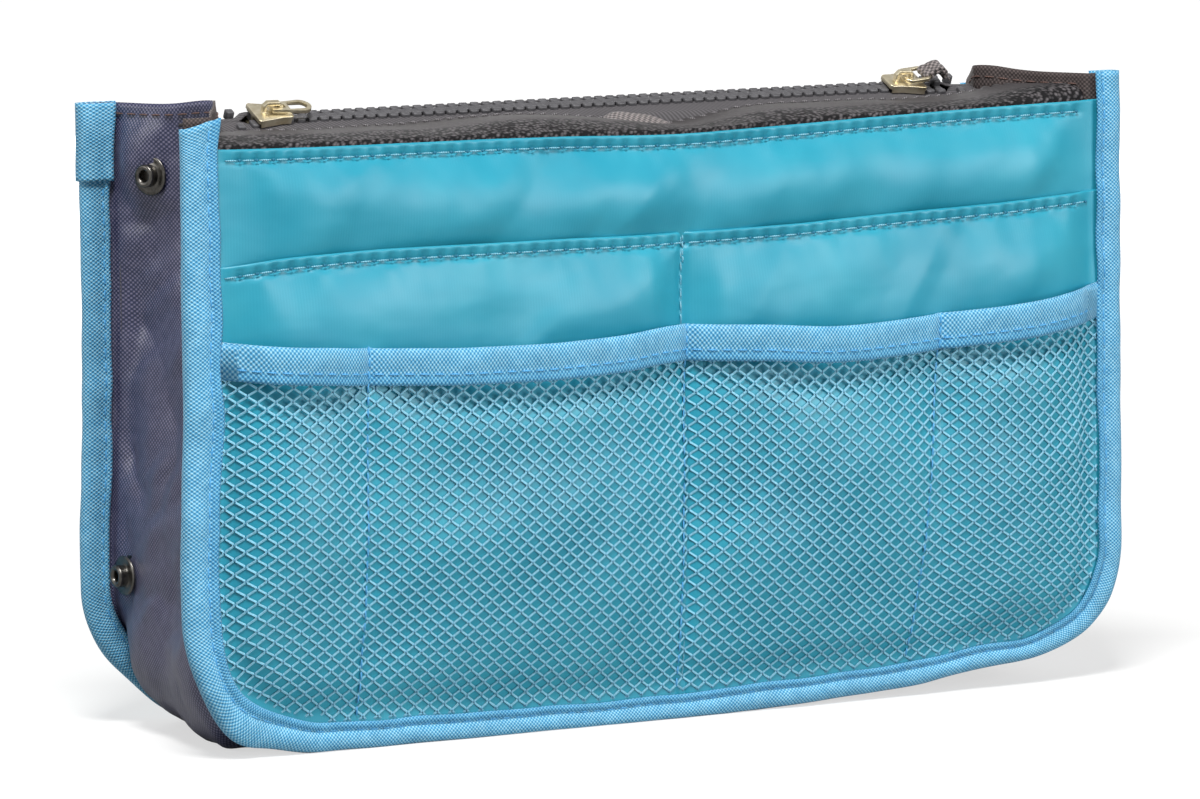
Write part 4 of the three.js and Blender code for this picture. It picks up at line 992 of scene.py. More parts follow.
def net_depth(x, z):
    """How far out the net lies: close on the satin low down, standing off it towards the trim."""
    creased = SLIP_FOLDS * satin_folds(x, z, FRONT_SLIP_SEED)
    satin = slip_surface(x, z, SLIP_SEAM, FRONT_SLIP_SEED, True) + creased + NET_LIFT
    clear = np.clip(net_out(x, z) + folds(x, z, NET_WAVES, 9.4) - satin, 0, None)
    to_side = np.where(x < 0, half_width(z, 10.2), half_width(z, 8.6)) - np.abs(x)
    under_binding = 0.8 * (1 - smooth((np.minimum(to_side, z - 8.3) + 0.8) / 1.2))
    return satin + clear * (1 - NET_HUGS * smooth((net_top(x) - 4 - z) / 20)) - under_binding


def on_net(x, z, lift=0.0):
    """A point of the flat net on the pocket, a little uneven as hand-laid net is."""
    moved_x = x + folds(x, z, NET_SHIFT_X, 2.2)
    moved_z = z + folds(x, z, NET_SHIFT_Z, 6.2)
    return np.column_stack(settle(moved_x, -net_depth(moved_x, moved_z) - lift, moved_z))


def in_net(x, z):
    return (np.abs(x) < half_width(z, NET_FOOT)) & (z < net_top(x) - 2.5) & (z > NET_FOOT)


print("the net lies", round(float(net_depth(-50, 90)), 1), "mm from the middle plane")

# %% Tubes for the yarns
STRAND_HALF_WIDTH = 0.34
STRAND_HALF_HEIGHT = 0.17
STRAND_SECTION = np.array([(-1, -0.3), (-0.6, 1), (0, 0.25), (0.6, 1), (1, -0.3)])


def yarn_tube(path, section):
    """Rings of points round a path that lies on the front face; the section is across and out."""
    heading = np.gradient(path, axis=0)
    heading /= np.linalg.norm(heading, axis=1, keepdims=True)
    side = np.cross(heading, (0, -1, 0))
    side /= np.linalg.norm(side, axis=1, keepdims=True)
    out = np.cross(side, heading)
    across, away = section[:, 0][None, :, None], section[:, 1][None, :, None]
    return path[:, None] + across * side[:, None] + away * out[:, None]


def tube_faces(count, sides, start):
    faces = []
    for r in range(count - 1):
        for k in range(sides):
            a, b = start + r * sides + k, start + r * sides + (k + 1) % sides
            faces.append((a, b, b + sides, a + sides))
    faces.append(tuple(start + k for k in reversed(range(sides))))
    faces.append(tuple(start + (count - 1) * sides + k for k in range(sides)))
    return faces


print("a strand's section has", len(STRAND_SECTION), "points")

# %% Lay the yarns
NET_HALF_CELL_X = 2.24
NET_HALF_CELL_Z = 1.89
NET_REACH = 118
YARNS_EACH_SIDE = 63
YARN_DRAWN = 0.3
LOOP_HALF = 0.35
KNOT_LIFT = 0.2
rows = np.arange(int(NET_REACH / NET_HALF_CELL_Z))
strand = STRAND_SECTION * (STRAND_HALF_WIDTH, STRAND_HALF_HEIGHT)
sides = len(strand)
points, faces, knots, spread = [], [], [], []
yarn_length = 0
for k in range(-YARNS_EACH_SIDE, YARNS_EACH_SIDE + 1):
    turn = np.where((rows + k) % 2 == 0, 1, -1)
    x = np.repeat(k * NET_HALF_CELL_X + turn * (NET_HALF_CELL_X / 2 - YARN_DRAWN), 2)
    z = np.repeat(NET_FOOT + rows * NET_HALF_CELL_Z, 2) + np.tile([-LOOP_HALF, LOOP_HALF], len(rows))
    inside = np.flatnonzero(in_net(x, z))
    if len(inside) < 4:
        continue
    run = slice(inside[0], inside[-1] + 1)
    path = on_net(x[run], z[run])
    yarn_length += run_along(path)[-1]
    tube = yarn_tube(path, strand)
    faces += tube_faces(len(tube), sides, sum(len(p) for p in points))
    points.append(tube.reshape(-1, 3))
    across = np.tile((STRAND_SECTION[:, 0] + 1) / 2, len(tube))
    spread.append(np.column_stack((across, np.repeat(z[run] * MM, sides))))
    knot_z = NET_FOOT + rows[turn == 1] * NET_HALF_CELL_Z
    knot_x = np.full(len(knot_z), (k + 0.5) * NET_HALF_CELL_X)
    keep = in_net(knot_x, knot_z)
    knots.append(on_net(knot_x[keep], knot_z[keep], KNOT_LIFT))
net_yarns = mesh_piece("front_mesh_pocket_yarns", np.concatenate(points), faces, np.concatenate(spread))
print("net:", len(net_yarns.data.polygons), "yarn faces")

# %% The net's cut size, and its knots
MEASURED_AT = (-34, 60)
KNOT_SIZE = (0.34, 0.26, 0.34)
half = half_width(MEASURED_AT[1], NET_FOOT)
net_width = run_along(on_net(steps(-half, half, 4), MEASURED_AT[1]))[-1]
net_height = run_along(on_net(MEASURED_AT[0], steps(NET_FOOT, net_top(MEASURED_AT[0]), 4)))[-1]
yarn_area = yarn_length * 2 * STRAND_HALF_WIDTH
cut_sizes[net_yarns.name] = (net_width * MM, net_height * MM, yarn_area * MM * MM)
rests_on = ["front_slip_pocket"]
wear(net_yarns, net_finish, "net_yarn", "front_mesh_pocket", held="stretched", rests_on=rests_on)
knots = np.concatenate(knots)
knot_axes = np.broadcast_to(np.diag(KNOT_SIZE), (len(knots), 3, 3))
net_knots = wear(copies("front_mesh_pocket_knots", KNOT_SHAPE, knots, knot_axes), knot_finish, "net_yarn")
sewn_with[net_yarns.name] = [net_knots]
tell_cut(net_yarns.name)
print("knots:", len(knots))

# %% [markdown]
# ## Net seams and the trim along the net's mouth
# Three upright seams divide the net into four. The trim is a blue tape folded over the net's raw top edge
# and sewn through about two thirds of the way down. It swells with each pocket and dips at each seam. Its
# ends go flat under the edge binding. It is made as one folded section that is carried along the mouth,
# so its width stays true.

# %% Shape of the folded trim
TRIM_FOLD = np.array([
    (1.05, -10.1), (1.3, -9.4), (1.35, -8.4), (1.05, -7.0), (1.4, -5.6), (1.5, -3.2), (1.4, -1.2),
    (0.95, -0.25), (0.2, 0.0), (-0.45, -0.5), (-0.7, -2.0), (-0.7, -9.6),
])
TRIM_OUT = 0.6
TRIM_WAVES, TRIM_BUCKLES, TRIM_WANDERS = (0.4, 22, 1), (0.35, 15, 8), (0.35, 17, 1)
TRIM_TUCK = (132.2, 134.4)
TUCK_DEEP = 1.1
SEAM_DRAWN, SEAM_DRAWN_WIDE = 0.9, 1.7


def profile_at(profile, run):
    """A folded section, read by the distance along it."""
    distance = run_along(profile)
    return np.interp(run, distance, profile[:, 0]), np.interp(run, distance, profile[:, 1])


def trim_depth(x):
    return net_out(x, net_top(x) - 5) + TRIM_OUT + folds(x, 0 * x, TRIM_WAVES, 3.3)


def trim_place(run, x):
    out, drop = profile_at(TRIM_FOLD, run)
    flat = 0.2 + 0.8 * smooth((side_limit(net_top(x)) - np.abs(x)) / 9)
    wave = folds(x, drop, TRIM_BUCKLES, 5.1)
    lean = 0.05 * (drop + 5) * flat
    tucked = TUCK_DEEP * smooth((np.abs(x) - np.where(x < 0, *TRIM_TUCK)) / 3.2)
    drawn = SEAM_DRAWN * sum(hump((x - seam) / SEAM_DRAWN_WIDE) for seam in NET_SEAMS)
    z = net_top(x) + drop + folds(x, 0 * x, TRIM_WANDERS, 8.8)
    return x, -(trim_depth(x) + out * flat + (wave + lean) * flat - (tucked + drawn)), z


print("the trim's tape is", round(run_along(TRIM_FOLD)[-1], 1), "mm wide")

# %% Trim
TRIM_PLY = 0.7
TRIM_LEFT, TRIM_RIGHT = -136.4, 138
TRIM_GROOVE = 3
TRIM_SEWING = (4.2, 3.2, 0.55)
columns = with_fine(steps(TRIM_LEFT, TRIM_RIGHT, 1.6), *NET_SEAMS)
net_trim = cloth(
    "front_mesh_trim_tape", run_along(TRIM_FOLD), columns, trim_place, TRIM_PLY, (0, -1, 0), (0.5, 0.2)
)
rests_on = ["front_mesh_pocket"]
wear(net_trim, tape_finish, "binding_tape", "front_mesh_trim", held="folded", rests_on=rests_on)
x = steps(-135, 135, 1.5)
stitch_run = run_along(TRIM_FOLD)[TRIM_GROOVE]
trim_line = np.column_stack(trim_place(np.full(len(x), stitch_run), x)) + np.array([0, -0.2, 0])
row = "front_mesh_trim_stitches"
sew(row, trim_line, tape_thread, "binding_tape", (0, -1, 0), net_trim, *TRIM_SEWING)
tell_cut("front_mesh_trim_tape")

# %% Net seams
TRIM_FRONT = TRIM_FOLD[:9]
SEAM_SLANTS = (0.018, 0.022, 0.075)
SEAM_WANDERS = (0.2, 18, 1)
SEAM_SEWING = (3.4, 2.8, 0.6)
for name, seam, slant in zip(("left", "middle", "right"), NET_SEAMS, SEAM_SLANTS):
    z = steps(9, float(net_top(seam)) - 0.6, 1.5)
    x = seam - slant * (net_top(seam) - z) + folds(z, 0 * z, SEAM_WANDERS, seam)
    drop = np.clip(z - net_top(x), *TRIM_FRONT[[0, -1], 1])
    trim_y = trim_place(np.interp(drop, TRIM_FRONT[:, 1], run_along(TRIM_FRONT)), x)[1] - 0.2
    on_trim = z > net_top(x) + TRIM_FRONT[0, 1]
    line = np.column_stack((x, np.where(on_trim, trim_y, -net_depth(x, z) - 0.25), z))
    row = f"front_mesh_{name}_seam_stitches"
    sew(row, line, tape_thread, "net_yarn", (0, -1, 0), net_trim, *SEAM_SEWING)
print("rows sewn with the trim:", len(sewn_with[net_trim.name]))

# %% [markdown]
# ## Edge bindings
# A binding is one long tape folded round the raw edges of face and gusset and sewn through all of them.
# It follows the U from one top corner down, along the foot and up again. The section below is that fold,
# read from the edge that lies on the face, over the fold and back along the inside. A groove marks the
# stitches. Carrying one section along one path keeps the tape even, where a bevelled curve would twist in
# the corners.

# %% The path of a binding
WALL = HEIGHT - CORNER
ARC = CORNER * math.pi / 2
FOOT = 2 * (HALF_WIDTH - CORNER)
BINDING_LENGTH = 2 * WALL + 2 * ARC + FOOT


def on_edge(run, inset):
    """A place along the U, at a distance inside the pouch's outline."""
    centre = HALF_WIDTH - CORNER
    radius = CORNER - inset
    first, second = run - WALL, run - WALL - ARC - FOOT
    a, b = np.clip(first / CORNER, 0, math.pi / 2), np.clip(second / CORNER, 0, math.pi / 2)
    along = np.clip(first - ARC, 0, FOOT)
    x = np.where(run < WALL + ARC, -centre - radius * np.cos(a), -centre + along)
    x = np.where(second > 0, centre + radius * np.sin(b), x)
    z = np.where(run < WALL, HEIGHT - run, CORNER - radius * np.sin(a))
    z = np.where(second > 0, CORNER - radius * np.cos(b), z)
    return x, np.where(second > ARC, CORNER + second - ARC, z)


print("round the U it is", round(BINDING_LENGTH), "mm")

# %% The fold of a binding
BINDING_FOLD = np.array([
    (10.1, 37.2), (9.6, 37.7), (8.8, 37.8), (7.9, 37.55), (7.2, 36.9), (6.5, 37.5), (5.2, 38.1),
    (3.4, 38.2), (1.8, 37.8), (0.7, 37.0), (0.15, 36.0), (0.15, 34.7), (0.7, 33.6), (1.8, 33.0),
    (3.4, 32.8), (5.0, 32.8), (6.2, 33.1), (6.8, 32.7), (7.5, 32.8), (8.2, 33.0),
])
BINDING_WANDERS, BINDING_BENDS = (0.09, 16, 1), (0.7, 11, 4)
FLARE = 0.12
face_leg = curve_through([
    (0, 1.0), (WALL, 1.02), (WALL + ARC, 0.84), (WALL + ARC + FOOT, 0.8), (WALL + 2 * ARC + FOOT, 0.82),
    (BINDING_LENGTH, 0.86),
])


def binding_place(side, seed, grow=0.0):
    def place(distance, run):
        inset, depth = profile_at(BINDING_FOLD, distance)
        on_face = depth > FLANGE
        inset = np.where(on_face, inset * face_leg(run), inset)
        flare = FLARE * smooth(1 - run / 10)
        uneven = folds(run, 0 * run, BINDING_WANDERS, seed) + flare
        inset = inset + uneven * inset + grow * (inset / 6 - 0.5)
        cut = 3.4 - np.where(on_face, 2.4 * inset / 10, 0)
        run = run + np.where(side == FRONT, cut, 1.2) * smooth(1 - run / 16)
        bend = folds(run, depth, BINDING_BENDS, seed + 2)
        depth = depth + bend + np.where(on_face, grow, -grow)
        x, z = on_edge(run, inset)
        return x, side * depth, z

    return place


print("its tape is", round(run_along(BINDING_FOLD)[-1], 1), "mm wide")

# %% Lay and sew both bindings
BINDING_PLY = 0.75
OUTER_GROOVE, INNER_GROOVE = 4, 16
BINDING_SEWING = (4.0, 3.1, 0.5)


def edge_binding(name, side, seed):
    place = binding_place(side, seed)
    distances = run_along(BINDING_FOLD)
    lengths = steps(0, BINDING_LENGTH, 1.6)
    tape = cloth(
        f"{name}_edge_binding_tape", distances, lengths, place, BINDING_PLY, (0, side, 0), (0.1, 0.3)
    )
    rests_on = [f"{name}_panel"]
    wear(tape, tape_finish, "binding_tape", f"{name}_edge_binding", held="folded", rests_on=rests_on)
    run = steps(2, BINDING_LENGTH - 2, 1.5)
    for which, groove, outward in (("outer", OUTER_GROOVE, side), ("inner", INNER_GROOVE, -side)):
        line = np.column_stack(place(np.full(len(run), distances[groove]), run))
        line = line + np.array([0, 0.15 * outward, 0])
        row = f"{name}_binding_{which}_stitches"
        sew(row, line, tape_thread, "binding_tape", (0, outward, 0), tape, *BINDING_SEWING)


edge_binding("front", FRONT, 2.4)
edge_binding("rear", REAR, 12.4)
tell_cut("front_edge_binding_tape")

# %% The folded end of the rear binding
END_FOLD_PLY = 0.7
END_FOLD_LENGTH, END_FOLD_OVER = 22, 0.6
END_FOLD_GROWS = 0.9
place = binding_place(REAR, 17.4, END_FOLD_GROWS)
lengths = steps(-END_FOLD_OVER, END_FOLD_LENGTH, 1.1)
distances = run_along(BINDING_FOLD)
end_fold = cloth(
    "rear_binding_end_fold_tape", distances, lengths, place, END_FOLD_PLY, (0, 1, 0), (0.5, 0.3)
)
wear(end_fold, tape_finish, "binding_tape", held="folded", rests_on=["rear_edge_binding"])
tell_cut("rear_binding_end_fold_tape")

# %% [markdown]
# ## Gussets and base
# One band of dark oxford cloth runs down one end, under the pouch and up the other end. On the ends it
# folds inwards in a V that deepens upwards, and under the pouch it bellies down to the table. The cloth
# is crumpled from being folded flat, so creases cross it both ways. It is cut in three: two gussets and a
# base. One function shapes the whole band, so the three cuts meet without a gap.

# %% Shape of the gusset band
GUSSET_FLANGE = 34.3
GUSSET_TURN = 9.2
GUSSET_LAP = 7.6
GUSSET_SPAN = 71.4
GUSSET_HEM = 3.6
FOLD_LOW, FOLD_MORE = 3, 14
CORNER_BULGE = 3.4
GUSSET_DENTS, GUSSET_GRAIN = (2.6, 21, 26), (0.3, 5, 6)
LONG_CREASES, LONG_CREASE_SIZE = 3.4, (24, 34)
SMALL_CREASES, SMALL_CREASE_SIZE = 1.6, (12, 18)


def fold_depth(z):
    """How far the V of a gusset goes in at a height."""
    return FOLD_LOW + FOLD_MORE * smooth((z - 42) / 98)


def gusset_place(seed):
    def place(u, run):
        t = np.clip((u - GUSSET_LAP) / GUSSET_SPAN, 0, 1)
        y = GUSSET_FLANGE * (1 - 2 * t)
        end_lap = np.clip(u - GUSSET_LAP - GUSSET_SPAN, 0, None)
        lap = np.clip(GUSSET_LAP - u, 0, None) + end_lap
        z_wall = np.maximum(HEIGHT - np.minimum(run, BINDING_LENGTH - run), CORNER)
        from_wall = np.minimum(run - WALL, BINDING_LENGTH - WALL - run)
        belly = smooth(from_wall / (0.7 * ARC))
        bulge = CORNER_BULGE * np.sin(math.pi * np.clip(from_wall / ARC, 0, 1))
        share = 1 - np.sqrt((y / GUSSET_FLANGE) ** 2 + 0.0016)
        inward = fold_depth(z_wall) * np.clip(share, 0, 1)
        down = -(GUSSET_TURN - 0.45) * smooth((GUSSET_FLANGE - np.abs(y)) / 13)
        window = smooth((GUSSET_FLANGE - np.abs(y)) / 7)
        dents = folds(u + 0.6 * run, run - 0.4 * u, GUSSET_DENTS, seed)
        lines = np.abs(ripple(u - 0.7 * run, run + 0.5 * u, *LONG_CREASE_SIZE, seed + 4))
        small = np.abs(ripple(u + 0.9 * run, run - 0.3 * u, *SMALL_CREASE_SIZE, seed + 6))
        creases = LONG_CREASES * (0.35 - lines) + SMALL_CREASES * (0.3 - small)
        crumple = dents + creases + folds(u, run, GUSSET_GRAIN, seed + 8)
        from_top = np.minimum(run, BINDING_LENGTH - run)
        turned = -0.35 * smooth((GUSSET_HEM + 0.9 - from_top) / 0.8)
        still = 1 - 0.7 * smooth((8 - from_top) / 8) - 0.9 * smooth(from_wall / (1.2 * ARC))
        inset = GUSSET_TURN - lap + inward * (1 - belly) + down * belly + crumple * window * still
        inset = inset - bulge * window + turned * window
        x, z = on_edge(run, inset)
        rise = 1.7 * hump(y / 11) + 0.7 * smooth(-x / 40) * smooth(-y / 6) * smooth((34 + y) / 10)
        return x, y, np.maximum(z, 0.4) + rise * smooth((14 - from_top) / 14)

    return place


print("near the top the V goes in", round(float(fold_depth(150)), 1), "mm")

# %% Cut one part of the band
OXFORD_PLY = 0.6
GUSSET_WIDTH = 2 * GUSSET_LAP + GUSSET_SPAN


def gusset(node, start, end, face_out, seed, sample):
    columns = np.concatenate([
        steps(0, GUSSET_LAP, 2.6)[:-1],
        steps(GUSSET_LAP, GUSSET_WIDTH - GUSSET_LAP, 1.2),
        steps(GUSSET_WIDTH - GUSSET_LAP, GUSSET_WIDTH, 2.6)[1:],
    ])
    rows = steps(start, end, 1.4)
    piece = cloth(f"{node}_oxford", columns, rows, gusset_place(seed), OXFORD_PLY, face_out, sample)
    rests_on = ["front_edge_binding", "rear_edge_binding"]
    wear(piece, oxford_finish, "oxford", node, held="folded", rests_on=rests_on)
    turn_reverse_side(piece, (len(columns) - 1) * (len(rows) - 1), face_out)
    return piece


def turn_reverse_side(piece, count, face_out):
    """The ply's inner side and its cut edges show the cloth's bare reverse."""
    piece.data.materials.append(reverse_finish)
    centres = np.array([p.center for p in piece.data.polygons]) @ np.array(face_out)
    first, second = centres[:count].mean(), centres[count : 2 * count].mean()
    start = 0 if first < second else count
    inner, edges = piece.data.polygons[start : start + count], piece.data.polygons[2 * count :]
    for polygon in (*inner, *edges):
        polygon.material_index = 1


print("the band is cut", round(GUSSET_WIDTH, 1), "mm wide")

# %% Gussets and base strip
GUSSET_TOP_DROP = 0.6
LEFT_END = WALL + ARC
RIGHT_START = WALL + ARC + FOOT
RIGHT_END = BINDING_LENGTH - GUSSET_TOP_DROP
seeds = {"left": 5.5, "right": 6.5}
left = gusset("left_gusset", GUSSET_TOP_DROP, LEFT_END, (-1, 0, 0), seeds["left"], (0.3, 0.4))
gusset("base_strip", LEFT_END, RIGHT_START, (0, 0, -1), seeds["left"], (0.5, 0.5))
right = gusset("right_gusset", RIGHT_START, RIGHT_END, (1, 0, 0), seeds["right"], (0.7, 0.4))
tell_cut("left_gusset_oxford")

# %% Gusset hems
GUSSET_SEWING = (4.6, 3.6, 0.5)
for name, piece, run, inwards in (
    ("left", left, GUSSET_HEM, 1),
    ("right", right, BINDING_LENGTH - GUSSET_HEM, -1),
):
    u = steps(GUSSET_LAP + 1, GUSSET_WIDTH - GUSSET_LAP - 1, 1)
    line = np.column_stack(gusset_place(seeds[name])(u, np.full(len(u), run)))
    for side, shift in (("outer", -0.25), ("inner", 0.9)):
        away = np.array([shift * inwards, 0, 0])
        outward = away / np.linalg.norm(away)
        row = f"{name}_gusset_{side}_stitches"
        sew(row, line + away, brown_thread, "oxford", outward, piece, *GUSSET_SEWING)
print("rows on the left hem:", len(sewn_with[left.name]))

# %% [markdown]
# ## Linings
# Behind each face hangs a plain lining ply. Only a look into the open mouth shows it, so it is one smooth
# sheet, hanging a few millimetres behind its panel.

# %% Linings
LINING_PLY = 0.6
LINING_TOP = 144.5
LINING_BEHIND = 3.2
half = HALF_WIDTH - EDGE
columns, rows = steps(-half, half, 6), steps(0, LINING_TOP - EDGE, 6)
flat_top = curve_through([(-146, LINING_TOP), (146, LINING_TOP)])
for name, side in FACES:
    place = face_place(side, EDGE, flat_top, lambda x, z: panel_out(x, z) - LINING_BEHIND, 21, 0.0)
    piece = cloth(f"{name}_lining_cloth", columns, rows, place, LINING_PLY, (0, side, 0))
    wear(piece, lining_finish, "lining", f"{name}_lining", held="hung", rests_on=[f"{name}_panel"])
tell_cut("front_lining_cloth")

# %% [markdown]
# ## Facings
# The pebbled facing starts behind the panel's hem, turns over the top and runs in towards the zip, where
# its edge is topstitched in slight scallops. In front of the middle it sags, and the end of a webbing
# handle that is tucked under it peeps out. One strip is shaped across from its lip to its edge, because
# its height changes all along the mouth.

# %% Heights of the facings' edges
edge_heights = {
    "front": curve_through([
        (-146, 166.2), (-120, 165.6), (-98, 165.1), (-59, 165.3), (-46, 165.9), (-34, 166.1), (-22, 165.7),
        (-14, 164.9), (-4, 163.9), (6, 162.4), (14, 161.8), (22, 162.6), (34, 164.6), (57, 165.2),
        (76, 165.2), (89, 165.0), (105, 165.6), (118, 167.2), (130, 168.3), (146, 169.0),
    ]),
    "rear": curve_through([
        (-146, 166.2), (-60, 166.6), (-20, 166.0), (30, 166.5), (80, 166.1), (146, 166.2),
    ]),
}
print("at the middle, mm:", {name: round(float(height(0)), 1) for name, height in edge_heights.items()})

# %% Shape of a facing
FACING_SPAN = 27
FACING_EDGE = 10
FACING_FOLD = 34.6
FACING_HALF, FACING_END = 134.3, 135.4
FACING_RISE = 1.0
PANEL_DEPTH = 36.0
SCALLOP = 3.7
SCALLOP_IN, SCALLOP_UP = 0.4, 0.9
FACING_BEHIND = 0.35
FACING_WAVES = (0.4, 19, 12)
LIP_CLEAR = 1.8


def facing_height(x, t, edge_height):
    """The facing's top side, from the fold over the panel, t 0, to its edge by the zip, t 1."""
    fold = panel_top(x) + FACING_RISE
    steep = 3.2 + 7 * smooth((x - 104) / 22)
    return fold + (edge_height(x) - fold) * (1 - (1 - t) ** steep)


def facing_place(side, edge_height, seed):
    def place(u, v):
        t = np.clip((u - FACING_LIP) / FACING_SPAN, 0, 1)
        depth = FACING_FOLD - (FACING_FOLD - FACING_EDGE) * t
        fold_in = (FOLD_LOW + FOLD_MORE) * (1 - depth / GUSSET_FLANGE)
        end = np.minimum(FACING_HALF, FACING_END - fold_in)
        x = -side * v * np.where(u < FACING_LIP, FACING_HALF, end) / FACING_HALF
        low = panel_top(x) + FACING_RISE - FACING_LIP
        scallop = (np.abs(np.sin(math.pi * x / SCALLOP)) - 0.7) * smooth((t - 0.88) / 0.12)
        crown = facing_height(x, t, edge_height)
        waves = folds(x, u, FACING_WAVES, seed + 2) * smooth(t * 5)
        z = np.where(u < FACING_LIP, low + u, crown) + waves
        over_top = (panel_out(x, 0 * x + 150) - PANEL_DEPTH) * (1 - t)
        bulge = np.where(u < FACING_LIP, panel_out(x, z) - PANEL_DEPTH, over_top)
        hangs_clear = LIP_CLEAR * smooth((FACING_LIP - u) / 5)
        out = depth + bulge - FACING_BEHIND - hangs_clear - SCALLOP_IN * scallop
        return x, side * out, z + SCALLOP_UP * scallop

    return place


print("a facing is", FACING_LIP + FACING_SPAN, "mm wide, with scallops of", SCALLOP, "mm")

# %% Facings
FACING_PLY = 0.8
FACING_SEWING = (SCALLOP, 2.2, 0.6)
SEWN_HALF, SEWN_FROM_EDGE = 122, 1.6
columns = steps(FACING_LIP, FACING_LIP + FACING_SPAN, 1.1)
columns = np.concatenate([steps(0, FACING_LIP, 3)[:-1], columns])
lengths = steps(-FACING_HALF, FACING_HALF, SCALLOP / 5)
v = steps(-SEWN_HALF, SEWN_HALF, SCALLOP / 4)
u = np.full(len(v), FACING_LIP + FACING_SPAN - SEWN_FROM_EDGE)
for (name, side), seed in zip(FACES, (3.7, 13.7)):
    place = facing_place(side, edge_heights[name], seed)
    piece = cloth(f"{name}_facing_pebbled", columns, lengths, place, FACING_PLY, (0, 0, 1), (0.5, 0.8))
    wear(piece, facing_finish, "facing", f"{name}_facing", held="folded", rests_on=[f"{name}_panel"])
    line = np.column_stack(place(u, v)) + np.array([0, 0.1 * side, 0.15])
    sew(f"{name}_facing_edge_stitches", line, dark_thread, "facing", (0, 0, 1), piece, *FACING_SEWING)
tell_cut("front_facing_pebbled")

# %% [markdown]
# ## Zip tapes
# A zip tape is a narrow twill band. Its inner edge carries the teeth, so it follows them apart where the
# chain opens past each slider. The chain leans towards the front, so the front tape starts low and the
# rear one high. Further out both dip under the facing, and past the end stops their edges come together
# again. The rule for how the chain parts is shared with the teeth, so both agree.

# %% How the chain parts
CHAIN_Z = 167
CHAIN_LEAN = math.radians(25)
LEFT_SLIDER_X, RIGHT_SLIDER_X, CHAIN_END = -102, 95, 111
SLIDER_HALF = 5.5
PARTED_BY_SLIDER, PARTED_BEYOND = 1.75, 0.85


def parted(x):
    """How far each half of the chain stands aside: nothing between the sliders, more past them."""
    slider = np.where(x < 0, -LEFT_SLIDER_X, RIGHT_SLIDER_X)
    past = np.abs(x) - slider
    inside = PARTED_BY_SLIDER * (past + 2) / (SLIDER_HALF + 2)
    to_end = np.clip((past - SLIDER_HALF) / (CHAIN_END - slider - SLIDER_HALF), 0, 1)
    beyond = PARTED_BY_SLIDER + PARTED_BEYOND * to_end
    return np.where(past <= -2, 0, np.where(past <= SLIDER_HALF, inside, beyond))


print("at the chain's end each row stands aside", round(float(parted(CHAIN_END)), 2), "mm")

# %% Zip tapes
TAPE_END = 118.3
TAPE_WIDTH = 16.2
TAPE_PLY = 0.5
TAPE_BEND = {FRONT: 4.2, REAR: 1.6}
TAPE_FROM_CHAIN = 1.9
TAPE_DIP = 4.6
TAPE_DIP_DEPTH, TAPE_UNDER = 9.6, 8.4
TAPE_SPREAD = 0.0041
TAPE_BELOW_FACING, TAPE_LOW = 2.7, 164.4


def zip_tape_place(side, edge_height):
    def place(u, v):
        closing = smooth((np.abs(v) - CHAIN_END + 5) / 6)
        bend = TAPE_BEND[side]
        beside = (TAPE_FROM_CHAIN + parted(-side * v)) * (1 - closing) + np.minimum(u, bend)
        lean_y, lean_z = beside * math.cos(CHAIN_LEAN), CHAIN_Z + side * beside * math.sin(CHAIN_LEAN)
        down = np.clip((u - bend) / TAPE_DIP, 0, 1)
        under = np.clip((u - bend - TAPE_DIP) / (TAPE_WIDTH - bend - TAPE_DIP), 0, 1)
        depth = lean_y + (TAPE_DIP_DEPTH - lean_y) * down + TAPE_UNDER * under
        x = -side * v * (1 + TAPE_SPREAD * np.clip(depth - 2, 0, None))
        low = np.minimum(edge_height(x) - TAPE_BELOW_FACING, TAPE_LOW)
        return x, side * depth, lean_z + (low - lean_z) * smooth(down) + 0.25 * (1 - down)

    return place


columns, lengths = steps(0, TAPE_WIDTH, 0.7), steps(-TAPE_END, TAPE_END, 1.5)
for name, side in FACES:
    place = zip_tape_place(side, edge_heights[name])
    piece = cloth(f"{name}_zip_tape_twill", columns, lengths, place, TAPE_PLY, (0, 0, 1))
    rests_on = [f"{name}_facing"]
    wear(piece, zip_tape_finish, "zip_tape", f"{name}_zip_tape", held="stretched", rests_on=rests_on)
tell_cut("front_zip_tape_twill")

# %% [markdown]
# ## Handles
# The carry handles are webbing, tucked flat under the facings in a U with both ends sewn to the lip. The
# front one has worked up a little in the middle, where the photograph shows it. A flat strip that bends
# round two corners is enough, because little of it shows.

# %% Webbing handles
HANDLE_WIDTH = 15
HANDLE_PLY = 1.2
HANDLE_CORNER = (40.5, 26.5)
HANDLE_LEG = 8.4
HANDLE_RAISED = (3.3, 0.0)
HANDLE_PEEK, HANDLE_PEEK_HALF = 4, 10
HANDLE_UNDER = 1.2
HANDLE_BEND = math.pi / 2 * HANDLE_WIDTH / 2
HANDLE_RUN = 2 * HANDLE_LEG + 2 * HANDLE_BEND + 2 * HANDLE_CORNER[0]


def handle_place(side, edge_height, raised):
    def place(u, v):
        half = HANDLE_RUN / 2
        from_middle = np.abs(v - half)
        sign = np.sign(v - half)
        bend = np.clip((from_middle - HANDLE_CORNER[0]) / HANDLE_BEND, 0, 1) * math.pi / 2
        leg = np.clip(from_middle - HANDLE_CORNER[0] - HANDLE_BEND, 0, None)
        x = sign * (np.minimum(from_middle, HANDLE_CORNER[0]) + u * np.sin(bend))
        depth = HANDLE_CORNER[1] - u * np.cos(bend) + leg
        up = raised * np.exp(-(((x - HANDLE_PEEK) / HANDLE_PEEK_HALF) ** 4)) * smooth((u - 6) / 8)
        t = np.clip((FACING_FOLD - depth) / (FACING_FOLD - FACING_EDGE), 0, 1)
        return x, side * (depth - 0.75 * up), facing_height(x, t, edge_height) - HANDLE_UNDER + up

    return place


